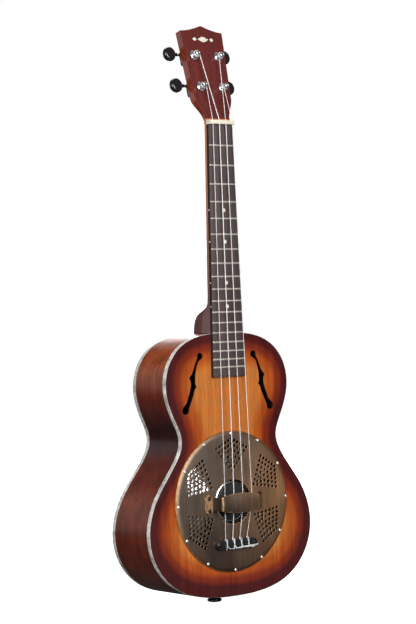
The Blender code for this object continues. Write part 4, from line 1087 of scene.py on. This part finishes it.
def buildCover():
    # one sheet seen from the front: rolled rim, rolled middle lip and a dished lip at each punched hole
    shape = coverShape
    sheet = bmesh.new()
    wearAndPaintedLight = sheet.verts.layers.float.new("wearAndPaintedLight")

    def circleLoop(x, y, radius, height, count, wearAndHighlight):
        edges = loopEdges(sheet, [(x + radius * math.cos(a), y + radius * math.sin(a), height)
                                  for a in np.linspace(0, math.tau, count, endpoint=False)])
        for edge in edges:
            for vert in edge.verts:
                vert[wearAndPaintedLight] = wearAndHighlight
        return edges

    def rolled(steps, x=0.0, y=0.0, count=192):
        # loops from the flat outwards or inwards, each bridged to the one before; returns the first
        loops = [circleLoop(x, y, radius, height, count, wearAndHighlight) for radius, height, wearAndHighlight in steps]
        for first, second in zip(loops, loops[1:]):
            bmesh.ops.bridge_loops(sheet, edges=first + second)
        return loops[0]

    flat = coverTop
    rim = [(75.9 * mm, flat, 0), (76.8 * mm, flat - 0.03 * mm, 0.05), (77.8 * mm, flat - 0.15 * mm, 0.1),
           (79 * mm, flat - 0.5 * mm, 0.2), (80.1 * mm, flat - 1.1 * mm, 0.6),
           (80.9 * mm, flat - 1.8 * mm, 1.0),
           (coverRadius, flat - 2.5 * mm, 1.0)]
    lip = [(shape["hole"] + shape["lip"], flat, 0), (shape["hole"] + 0.9 * mm, flat + 0.02 * mm, 0.3),
           (shape["hole"] + 0.35 * mm, flat - 0.08 * mm, 1.0), (shape["hole"], flat - 0.45 * mm, 1.0)]
    flatEdges = rolled(rim) + rolled(lip, count=96)
    punch, dish = shape["punch"], shape["punchLip"]
    for spot in kiteHoles():
        steps = [(punch + dish, flat, 0.2), (punch + 0.1 * mm, flat - 0.07 * mm, 0.6),
                 (punch, flat - 0.2 * mm, 0.3)]
        flatEdges += rolled(steps, spot.x, spot.y, 12)
    bmesh.ops.triangle_fill(sheet, edges=flatEdges, use_beauty=True, normal=(0, 0, 1))
    bmesh.ops.recalc_face_normals(sheet, faces=sheet.faces)
    if sum(face.normal.z * face.calc_area() for face in sheet.faces) < 0:
        bmesh.ops.reverse_faces(sheet, faces=sheet.faces)
    place = Matrix.Translation((0, frontY, wellZ)) @ Matrix.Rotation(math.radians(90), 4, "X")
    bmesh.ops.transform(sheet, matrix=place, verts=sheet.verts)
    cover = addPiece("piercedCover", sheet, coverBrass, ["coverplate"], angle=7)
    wall = cover.modifiers.new("sheetThickness", "SOLIDIFY")
    wall.thickness = shape["sheet"] * 0.9
    wall.offset = -1
    screws = []
    for i in range(shape["screws"]):
        a = math.tau * i / shape["screws"]
        x, z = shape["screwCircle"] * math.sin(a), shape["screwCircle"] * math.cos(a)
        lean = Matrix.Rotation(math.radians(12), 4, Vector((-z, x, 0)).normalized())
        screws.append(screwMesh(1.9 * mm, 1.1 * mm, facing(x, wellZ + z, coverTop - 0.45 * mm) @ lean,
                                a * 1.7 + 0.4, 0.5))
    addPiece("coverScrews", joinMeshes(screws), coverScrewMetal)


def setWearAndPaintedLight(bm, amount):
    layer = bm.verts.layers.float.new("wearAndPaintedLight")
    for vert in bm.verts:
        vert[layer] = amount(vert)


restShape = {"sheet": 1.5 * mm, "knee": 27.7 * mm, "halfBar": 11.4 * mm, "halfLeg": 7.6 * mm,
             "crown": 1.7 * mm, "screwX": 36 * mm, "screwPitch": 14 * mm, "headRadius": 2.2 * mm,
             "headHeight": 1.4 * mm}


def buildHandRest():
    low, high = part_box("hand_rest")
    middle = (low.z + high.z) / 2
    half, end = (high.z - low.z) / 2, high.x
    base, crest = frontY - high.y, frontY - low.y
    thick = restShape["sheet"]
    knee = restShape["knee"]
    foot = knee + 3.2 * mm
    # centre line of the strip from the middle of the bar to the end of a foot, corners rounded
    line = [(0, crest), (10 * mm, crest), (knee - 4 * mm, crest - 0.15 * mm)]
    for a in np.linspace(80, 8, 7):
        line.append((knee - 2.2 * mm + 2.6 * mm * math.cos(math.radians(a)),
                     crest - 2.8 * mm + 2.6 * mm * math.sin(math.radians(a))))
    line += [(foot - 0.7 * mm, base + thick + 1.4 * mm), (foot + 0.1 * mm, base + thick + 0.4 * mm),
             (foot + 1.2 * mm, base + thick), (end - 0.6 * mm, base + thick), (end, base + thick - 0.5 * mm)]
    under = [(0, crest - thick), (knee - 5 * mm, crest - thick - 0.1 * mm),
             (knee - 2.4 * mm, crest - thick - 0.6 * mm), (knee - 1.2 * mm, crest - thick - 2 * mm),
             (foot - 2.2 * mm, base + 1.3 * mm), (foot - 1.2 * mm, base + 0.2 * mm), (foot, base),
             (end - 0.3 * mm, base)]
    ring = [(x, h) for x, h in reversed(line)] + [(-x, h) for x, h in line[1:]] + [(-x, h) for x,
            h in reversed(under)] + [(x, h) for x, h in under[1:]]
    turn = Matrix.Translation((0, frontY, middle)) @ Matrix(((1, 0, 0, 0), (0, 0, -1, 0), (0, 1, 0, 0),
            (0, 0, 0, 1)))
    strip = slab(ring, -half - 2 * mm, half + 2 * mm, turn)
    for offset in np.linspace(-10 * mm, 10 * mm, 11):
        bmesh.ops.bisect_plane(strip, geom=strip.verts[:] + strip.edges[:] + strip.faces[:],
                               plane_co=(0, 0, middle + offset), plane_no=(0, 0, 1))
    quarter = []
    for share in np.linspace(0, 1, 9):
        quarter.append((knee * share,
                        restShape["halfBar"] - (restShape["halfBar"] - restShape["halfLeg"]) * share**2))
    quarter += [(foot, 7.6 * mm), (foot + 1.5 * mm, 8.8 * mm), (foot + 3 * mm, 10.4 * mm),
                (foot + 4.4 * mm, half - 0.2 * mm)]
    for a in np.linspace(90, 0, 8):
        quarter.append((end - 5.8 * mm + 5.8 * mm * math.cos(math.radians(a)),
                        half - 5.8 * mm + 5.8 * mm * math.sin(math.radians(a))))
    quarter.append((end, 0))
    upperHalf = [(-x, z) for x, z in reversed(quarter)] + quarter[1:]
    plan = upperHalf + [(x, -z) for x, z in reversed(upperHalf[1:-1])]
    shape = slab([(x, middle + z) for x, z in plan], frontY - 30 * mm, frontY + 5 * mm)
    rest = carve(strip, [shape], "INTERSECT")
    tidyMesh(rest, False)
    # the bar is crowned across its width
    for vert in rest.verts:
        fade = min(max((knee + 1 * mm - abs(vert.co.x)) / (5 * mm), 0), 1)
        vert.co.y += restShape["crown"] * fade * ((vert.co.z - middle) / restShape["halfBar"]) ** 2
    sharp = [e for e in rest.edges if len(e.link_faces) == 2 and e.calc_face_angle(0) > math.radians(50)]
    roundEdges(rest, sharp, 0.55 * mm, 3)
    # painted highlights and painted shade on the hand rest, stored in its wear attribute
    setWearAndPaintedLight(rest, lambda vert: restPaintedLight(vert, knee, end, half, middle, crest))
    addPiece("handRest", rest, restBrass, ["hand_rest"], angle=30)
    number = 0
    for x in (-restShape["screwX"], restShape["screwX"]):
        for z in (-restShape["screwPitch"] / 2, restShape["screwPitch"] / 2):
            number += 1
            screw = screwMesh(restShape["headRadius"], restShape["headHeight"],
                              facing(x, middle + z, base + thick), 0.5 * number)
            addPiece(f"handRestScrew{number}", screw, blackScrew,
                     [f"hand_rest_screw_{number}"])


def restPaintedLight(vert, knee, end, half, middle, crest):
    # painted light: painted highlights on the bends and outlines, painted shade on the legs and on the treble-side
    # foot
    x, z, height = abs(vert.co.x), abs(vert.co.z - middle), frontY - vert.co.y
    onFoot = x > knee + 3.4 * mm
    if onFoot:
        outline = end - x < 1.2 * mm or half - z < 1.2 * mm
        # painted shade: the treble-side foot stays darker than the bass-side one
        lit = 1.0 if vert.co.x < 0 else 0.35
        return (0.75 if outline else 0.5) * lit
    # painted shade on the legs and the sides
    if x > knee + 0.2 * mm or height < crest - 3.4 * mm:
        return -0.75
    # painted highlight along the knee's bend and along the bar's outline
    bend = max(0.0, 1 - abs(x - knee + 1.4 * mm) / (1.5 * mm))
    share = min(x / knee, 1)
    edge = restShape["halfBar"] - (restShape["halfBar"] - restShape["halfLeg"]) * share**2
    return max(bend, 0.62 if edge - z < 0.5 * mm else 0.12)


def buildTieBlock():
    low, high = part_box("tie_block")
    middle, half = (low.z + high.z) / 2, (high.z - low.z) / 2
    end = high.x - half
    arc = [(end + half * math.cos(a), middle + half * math.sin(a))
           for a in np.linspace(-math.pi / 2, math.pi / 2, 17)]
    block = slab(arc + [(-x, z) for x, z in reversed(arc)], low.y, frontY - (coverTop + 0.05 * mm))
    crown = [e for e in block.edges if all(abs(v.co.y - low.y) < 1e-6 for v in e.verts)]
    roundEdges(block, crown, 0.9 * mm, 3)
    cutters = []
    for index, diameter in enumerate(stringShape["diameters"]):
        spot = Matrix.Translation((stringX(index, stringShape["tieSpacing"]),
                                   frontY - stringShape["overTie"], middle))
        cutters.append(rod(diameter / 2 + 0.25 * mm, -9 * mm, 9 * mm, 16, spot))
    # a shallow channel along the top, between the screws
    cutters.append(brick((-19 * mm, low.y - 2 * mm, middle - 1.6 * mm),
                         (19 * mm, low.y + 0.5 * mm, middle + 1.6 * mm)))
    addPiece("tieBlock", carve(block, cutters), tieBlack, ["tie_block"])
    for number, x in ((1, -25 * mm), (2, 25 * mm)):
        screw = screwMesh(2.3 * mm, 1.4 * mm, facing(x, middle, frontY - low.y), 0.7 * number)
        addPiece(f"tieBlockScrew{number}", screw, blackScrew,
                 [f"tie_block_screw_{number}"])


buildCover()
buildHandRest()
buildTieBlock()
print("coverplate, hand rest and tie block built")


# Tuners: what turns rides on its own body

tunerShape = {
    "postRadius": 3 * mm, "postHeight": 10 * mm, "waist": 2.55 * mm, "bushing": 5.7 * mm,
    "bushingRise": 2.6 * mm,
    "buttonReach": 22.3 * mm, "buttonLength": 8.1 * mm, "buttonHeight": 8.7 * mm, "buttonThickness": 8 * mm,
    "shaft": 1.5 * mm, "wrapHeight": 6.4 * mm, "wrapTurns": 3,
}


def buildBushing(number, seat):
    shape = tunerShape
    bore, outer, rise = shape["postRadius"] + 0.15 * mm, shape["bushing"], shape["bushingRise"]
    profile = [(bore, -6 * mm), (4.4 * mm, -6 * mm), (4.4 * mm, 0), (outer - 0.15 * mm, 0),
               (outer, 0.2 * mm), (outer, 0.7 * mm),
               (outer - 0.25 * mm, 0.95 * mm), (outer - 1.1 * mm, 1.1 * mm), (outer - 1.35 * mm, 1.3 * mm),
               (outer - 1.45 * mm, rise - 0.5 * mm), (outer - 1.75 * mm, rise - 0.1 * mm),
               (outer - 2.1 * mm, rise), (bore, rise - 0.15 * mm)]
    addPiece(f"tunerBushing{number}", spun(profile, 48, seat, ring=True), chrome,
             [f"tuner_bushing_{number}"])


def buildPost(number, seat):
    shape = tunerShape
    radius, waist, tall = shape["postRadius"], shape["waist"], shape["postHeight"]
    foot = -headDepthAt(number) + 1.7 * mm
    profile = [(0, foot), (1.8 * mm, foot), (1.8 * mm, -10.4 * mm), (radius, -10.4 * mm),
               (radius, 3.0 * mm), (radius - 0.15 * mm, 3.4 * mm)]
    for a in np.linspace(-60, 60, 9):
        profile.append((waist + (radius - waist) * (1 - math.cos(math.radians(a))),
                        5.6 * mm + 1.9 * mm * math.sin(math.radians(a)) / math.sin(math.radians(60))))
    profile += [(radius - 0.1 * mm, 7.7 * mm), (radius, 8.0 * mm), (radius, tall - 0.9 * mm)]
    for a in np.linspace(15, 90, 6):
        profile.append((radius - 0.9 * mm + 0.9 * mm * math.cos(math.radians(a)),
                        tall - 0.9 * mm + 0.9 * mm * math.sin(math.radians(a))))
    profile += [(1.3 * mm, tall), (1.1 * mm, tall - 0.35 * mm), (0, tall - 0.4 * mm)]
    post = spun(profile, 40)
    hole = rod(0.8 * mm, -8 * mm, 8 * mm, 20,
               Matrix.Translation((0, 0, 6.6 * mm)) @ Matrix.Rotation(math.radians(90), 4, "Y"))
    post = carve(post, [hole])
    bmesh.ops.transform(post, matrix=seat, verts=post.verts)
    addPiece(f"stringPost{number}", post, chrome, [f"string_post_{number}"], f"post_{number}")


def headDepthAt(number):
    # depth of the housing's hollow behind the headstock's face
    inverse = postFrame(number).inverted()
    verts = frame["nodes"][f"tuner_housing_{number}"].data.vertices
    return -min((inverse @ vert.co).z for vert in verts)


def buildHousing(number, seat, side):
    inverse = postFrame(number).inverted()
    spots = [inverse @ vert.co for vert in frame["nodes"][f"tuner_housing_{number}"].data.vertices]
    low = Vector([min(spot[k] for spot in spots) for k in range(3)])
    high = Vector([max(spot[k] for spot in spots) for k in range(3)])
    case = brick(low, Vector((high.x, high.y, -neckShape["headThickness"])))
    uprights = [e for e in case.edges if abs((e.verts[0].co - e.verts[1].co).z) > 1 * mm]
    roundEdges(case, uprights, 3.2 * mm, 8)
    backFace = [e for e in case.edges if all(abs(v.co.z - low.z) < 1e-6 for v in e.verts)]
    roundEdges(case, backFace, 1.5 * mm, 5)
    axle = knobAxle(number, inverse)
    collar = rod(2.6 * mm, *sorted((side * (high.x - 1 * mm), side * (high.x + 1.1 * mm))), 32,
                 Matrix.Translation(axle) @ Matrix.Rotation(math.radians(90), 4, "Y"))
    case = carve(case, [collar], "UNION")
    lid = spun(roundedProfile(4.6 * mm, low.z - 0.25 * mm, low.z + 0.6 * mm, 0.2 * mm), 40)
    case = carve(case, [lid], "UNION")
    hollow = rod(4.9 * mm, low.z + 1.4 * mm, -5 * mm, 40)
    trough = brick((low.x + 1.4 * mm, 0, low.z + 1.4 * mm), (high.x - 1.4 * mm, high.y - 1.4 * mm, -5 * mm))
    way = sorted((0, side * 30 * mm))
    hole = rod(1.7 * mm, *way, 24, Matrix.Translation(axle) @ Matrix.Rotation(math.radians(90), 4, "Y"))
    case = carve(case, [hollow, trough, hole])
    bmesh.ops.transform(case, matrix=seat, verts=case.verts)
    addPiece(f"tunerHousing{number}", case, housingBlack, [f"tuner_housing_{number}"],
             angle=30)


def knobAxle(number, inverse):
    return inverse @ Vector(joints[f"knob_{number}_turn"]["pos_m"])


def buildButton(number, seat, side):
    shape = tunerShape
    axle = knobAxle(number, seat.inverted())
    half = shape["buttonThickness"] / 2
    profile = [(0, -half), (0.55, -half), (0.66, -half * 0.985)]
    for a in np.linspace(-68, 68, 15):
        profile.append((0.66 + 0.34 * math.cos(math.radians(a)), half * math.sin(math.radians(a)) / 1.0))
    profile += [(0.66, half * 0.985), (0.55, half), (0, half)]
    disc = spun(profile, 56)
    bmesh.ops.scale(disc, vec=(shape["buttonLength"], shape["buttonHeight"], 1), verts=disc.verts)
    bmesh.ops.translate(disc, vec=(side * shape["buttonReach"], 0, 0), verts=disc.verts)
    start = shape["buttonReach"] - shape["buttonLength"] - 2.9 * mm
    neck = spun([(0, start), (1.9 * mm, start), (2.15 * mm, start + 0.3 * mm),
                 (2.0 * mm, start + 1.6 * mm), (2.6 * mm, start + 3.4 * mm), (3.4 * mm, start + 5.2 * mm),
                 (0, start + 5.4 * mm)],
                32, Matrix.Rotation(math.radians(90 * side), 4, "Y"))
    button = carve(disc, [neck], "UNION")
    bmesh.ops.transform(button, matrix=seat @ Matrix.Translation(axle), verts=button.verts)
    addPiece(f"tunerButton{number}", button, buttonBlack, [f"tuner_button_{number}"],
             f"knob_{number}", 40)
    # the worm keeps its solid from the frame; a turned shaft with a collar covers the part that shows
    reach = shape["buttonReach"] - shape["buttonLength"] - 2.6 * mm
    profile = [(0, 5.8 * mm), (shape["shaft"], 5.8 * mm), (shape["shaft"], reach - 2.2 * mm),
               (1.9 * mm, reach - 1.9 * mm), (1.9 * mm, reach - 0.6 * mm), (1.6 * mm, reach), (0, reach)]
    shaft = spun(profile, 28,
                 seat @ Matrix.Translation(axle) @ Matrix.Rotation(math.radians(90 * side), 4, "Y"))
    addPiece(f"knobShaft{number}", shaft, chrome, (), f"knob_{number}")


def tubeCurve(name, points, diameter, finish, body, replaces=(), resolution=6):
    # a round cord through given points, its handles set by Blender
    curve = bpy.data.curves.new(name, "CURVE")
    curve.dimensions = "3D"
    curve.bevel_depth = diameter / 2
    curve.bevel_resolution = 3
    curve.resolution_u = resolution
    curve.render_resolution_u = resolution
    curve.use_fill_caps = True
    curve.materials.append(finish)
    line = curve.splines.new("BEZIER")
    line.bezier_points.add(len(points) - 1)
    for knot, point in zip(line.bezier_points, points):
        knot.co = point
        knot.handle_left_type = knot.handle_right_type = "AUTO"
    piece = bpy.data.objects.new(name, curve)
    bpy.context.scene.collection.objects.link(piece)
    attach(piece, body)
    if replaces:
        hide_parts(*replaces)
    return piece


def buildWrap(number, seat, side):
    # from the post's hole, a few turns down the waist to where the string comes off
    diameter = stringShape["diameters"][number - 1]
    radius = tunerShape["waist"] + diameter / 2 + 0.25 * mm
    turns = tunerShape["wrapTurns"]
    start = stringLeave(number)[2]
    points = [(0.0, 0.0, 6.6 * mm)]
    steps = 12 * turns
    for i in range(steps + 1):
        share = 1 - i / steps
        a = start - side * math.tau * turns * share
        drop = min(diameter * 1.05, 0.95 * mm)
        points.append((radius * math.cos(a), radius * math.sin(a),
                       tunerShape["wrapHeight"] - drop * (turns * share) * 0.82))
    points[0] = (0.3 * radius * math.cos(start - side * math.tau * turns),
                 0.3 * radius * math.sin(start - side * math.tau * turns), points[1][2] + 0.3 * mm)
    points = [seat @ Vector(point) for point in points]
    tubeCurve(f"stringWrap{number}", points, diameter, nylon, f"post_{number}",
              [f"string_wrap_{number}"], 4)


def stringLeave(number):
    # nut end of the string and its tangent point on the post, in the headstock's frame
    side = -1 if number < 3 else 1
    index = number - 1
    diameter = stringShape["diameters"][index]
    out = headFrame().inverted()
    leave = out @ Vector((stringX(index, stringShape["nutSpacing"]),
                          frontY - stringShape["overNut"] + 0.5 * mm, nutTopZ + 0.5 * mm))
    post = out @ Vector(joints[f"post_{number}_turn"]["pos_m"])
    radius = tunerShape["waist"] + diameter / 2 + 0.25 * mm
    away = post.xy - leave.xy
    swing = math.asin(radius / away.length)
    direction = math.atan2(away.y, away.x) + side * swing
    run = math.sqrt(away.length_squared - radius**2)
    end = Vector((leave.x + run * math.cos(direction), leave.y + run * math.sin(direction),
                  tunerShape["wrapHeight"]))
    angle = math.atan2(end.y - post.y, end.x - post.x)
    return leave, end, angle


def buildString(number):
    index = number - 1
    diameter = stringShape["diameters"][index]
    shape = stringShape
    low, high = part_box("tie_block")
    tieTop, tieLow, tieHigh = frontY - low.y, low.z, high.z
    tieX, saddleX, nutX = (stringX(index, shape[key])
                           for key in ("tieSpacing", "saddleSpacing", "nutSpacing"))
    r = diameter / 2
    over = tieTop + r + 0.05 * mm
    mouth = shape["overTie"]

    def spot(x, z, height):
        return Vector((x, frontY - height, z))

    lay = over + 0.55 * mm * (3 - index)
    tailEnd = 29 * mm - 1.5 * mm * index
    tail = [
        spot(tailEnd, tieLow + 2.6 * mm - 0.75 * mm * index, lay),
        spot((tieX + tailEnd) / 2, tieLow + 1.7 * mm - 0.6 * mm * index, lay),
        spot(tieX + 5 * mm, tieLow + 0.6 * mm, lay),
        spot(tieX + 2.6 * mm, tieLow + 0.9 * mm, lay),
        spot(tieX + 1.2 * mm, tieLow + 3.2 * mm, over),
        spot(tieX + 0.5 * mm, tieHigh - 1.6 * mm, over),
        spot(tieX + 0.9 * mm, tieHigh + 0.7 * mm, over - 0.7 * mm),
        spot(tieX + 0.2 * mm, tieHigh + 1.5 * mm, mouth + 0.2 * mm - diameter),
        spot(tieX - 1.0 * mm, tieHigh + 0.9 * mm, mouth + 0.6 * mm),
        spot(tieX - 0.6 * mm, tieHigh - 1.5 * mm, over),
        spot(tieX - 0.3 * mm, tieLow + 2.5 * mm, over),
        spot(tieX - 0.1 * mm, tieLow - 0.4 * mm, over - 1.0 * mm),
        spot(tieX, tieLow - 1.0 * mm, mouth + 0.9 * mm),
        spot(tieX, tieLow - 0.2 * mm, mouth),
    ]
    leave, end, angle = stringLeave(number)
    main = [
        spot(tieX, (tieLow + tieHigh) / 2, mouth),
        spot(tieX, tieHigh + 0.4 * mm, mouth),
        spot(tieX + (saddleX - tieX) * 0.3, tieHigh + (saddleZ - tieHigh) * 0.3,
             mouth + (shape["overSaddle"] - mouth) * 0.3),
        spot(tieX + (saddleX - tieX) * 0.93, tieHigh + (saddleZ - tieHigh) * 0.93,
             mouth + (shape["overSaddle"] - mouth) * 0.93),
        spot(saddleX, saddleZ, shape["overSaddle"]),
        spot(saddleX + (nutX - saddleX) * 0.01, saddleZ + scaleLength * 0.01,
             shape["overSaddle"] - 0.05 * mm),
        spot(saddleX + (nutX - saddleX) * 0.5, saddleZ + scaleLength * 0.5,
             (shape["overSaddle"] + shape["overNut"]) / 2),
        spot(nutX - (nutX - saddleX) * 0.01, nutZ - scaleLength * 0.01, shape["overNut"] + 0.05 * mm),
        spot(nutX, nutZ + 1 * mm, shape["overNut"]),
        headFrame() @ leave,
        headFrame() @ leave.lerp(end, 0.1),
        headFrame() @ leave.lerp(end, 0.9),
        headFrame() @ end,
    ]
    tubeCurve(f"stringLine{number}", tail + main, diameter, nylon, "body", [f"string_{number}"])


def dressGears(number):
    for name, finish in ((f"worm_wheel_{number}", gearBrass), (f"worm_shaft_{number}", chrome)):
        frame["nodes"][name].data.materials.clear()
        frame["nodes"][name].data.materials.append(finish)


for tuner in range(1, 5):
    tunerSide = -1 if tuner < 3 else 1
    tunerSeat = postFrame(tuner)
    buildBushing(tuner, tunerSeat)
    buildPost(tuner, tunerSeat)
    buildHousing(tuner, tunerSeat, tunerSide)
    buildButton(tuner, tunerSeat, tunerSide)
    buildWrap(tuner, tunerSeat, tunerSide)
    buildString(tuner)
    dressGears(tuner)
print("tuners and strings built")


def buildStrapButton():
    low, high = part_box("strap_button")
    radius, tall = high.x, high.z
    profile = [(0, 0.5 * mm), (1.6 * mm, 0.3 * mm), (2.2 * mm, 0), (6 * mm, 0)]
    for a in np.linspace(-75, 60, 10):
        profile.append((radius - 2.1 * mm + 2.1 * mm * math.cos(math.radians(a)),
                        2.3 * mm + 2.1 * mm * math.sin(math.radians(a))))
    profile += [(5.4 * mm, 4.6 * mm), (4.6 * mm, 5.6 * mm), (4.5 * mm, 6.8 * mm), (5.2 * mm, 7.9 * mm),
                (6.9 * mm, 8.5 * mm), (7.1 * mm, 8.8 * mm), (7.1 * mm, tall), (0, tall)]
    addPiece("strapButton", spun(profile, 64), buttonBlack, ["strap_button"], angle=40)


buildStrapButton()


# Floor, light and camera

studio = {
    "floor": 0.80, "floorUnseen": 0.08, "floorGlow": 1.0, "backdrop": 1.0, "ambient": 0.08,
    # place, power and size of each soft lamp; the last stands behind on the right
    "lamps": (
        ((-0.40, -2.30, 1.00), 66, 1.3), ((-2.40, -0.60, 0.90), 30, 1.0), ((0.30, 0.90, 2.10), 16, 1.2),
        ((-1.10, 1.90, 0.50), 5, 1.6), ((1.20, 1.90, 0.70), 22, 1.2),
    ),
    "eye": (-1.34065, -1.76280, 0.32508), "turn": (90.338, 2.033, -37.352), "lens": 109.288,
}


def buildFloor():
    ground = bmesh.new()
    bmesh.ops.create_circle(ground, cap_ends=True, segments=64, radius=40)
    floor = newObject("studioFloor", ground)
    pale, tree, shader = newMaterial("paleFloor", roughness=0.9, specular=0.1)
    shader.inputs["Emission Color"].default_value = (1, 1, 1, 1)
    seen = node(tree, "ShaderNodeLightPath").outputs["Is Camera Ray"]
    # pale to the eye, darker in the lacquer's reflections
    grey = span(tree, seen, 0, 1, studio["floorUnseen"], studio["floor"])
    tree.links.new(grey, shader.inputs["Base Color"])
    tree.links.new(maths(tree, "MULTIPLY", seen, studio["floorGlow"]), shader.inputs["Emission Strength"])
    floor.data.materials.append(pale)


def buildWorld():
    # a white backdrop with a dimmer ambient light, so that lacquer and metal keep their depth
    sky = bpy.data.worlds.new("studioLight")
    sky.use_nodes = True
    tree = sky.node_tree
    seen = node(tree, "ShaderNodeLightPath").outputs["Is Camera Ray"]
    background = tree.nodes["Background"]
    background.inputs["Color"].default_value = (1, 1, 1, 1)
    tree.links.new(span(tree, seen, 0, 1, studio["ambient"], studio["backdrop"]),
                   background.inputs["Strength"])
    bpy.context.scene.world = sky


def buildLamps():
    middle = Vector((0, 0, (cadLow.z + cadHigh.z) / 2))
    for number, (spot, power, size) in enumerate(studio["lamps"], 1):
        lamp = bpy.data.lights.new(f"softLamp{number}", "AREA")
        lamp.energy, lamp.size = power, size
        made = bpy.data.objects.new(f"softLamp{number}", lamp)
        made.location = spot
        made.visible_camera = False
        made.rotation_euler = (middle - Vector(spot)).to_track_quat("-Z", "Y").to_euler()
        bpy.context.scene.collection.objects.link(made)


def buildCamera():
    lens = bpy.data.cameras.new("studioCamera")
    lens.lens = studio["lens"]
    camera = bpy.data.objects.new("studioCamera", lens)
    camera.location = studio["eye"]
    camera.rotation_euler = [math.radians(a) for a in studio["turn"]]
    bpy.context.scene.collection.objects.link(camera)
    bpy.context.scene.camera = camera
    bpy.context.scene.view_settings.view_transform = "Standard"


buildFloor()
buildWorld()
buildLamps()
buildCamera()
print("scene ready")
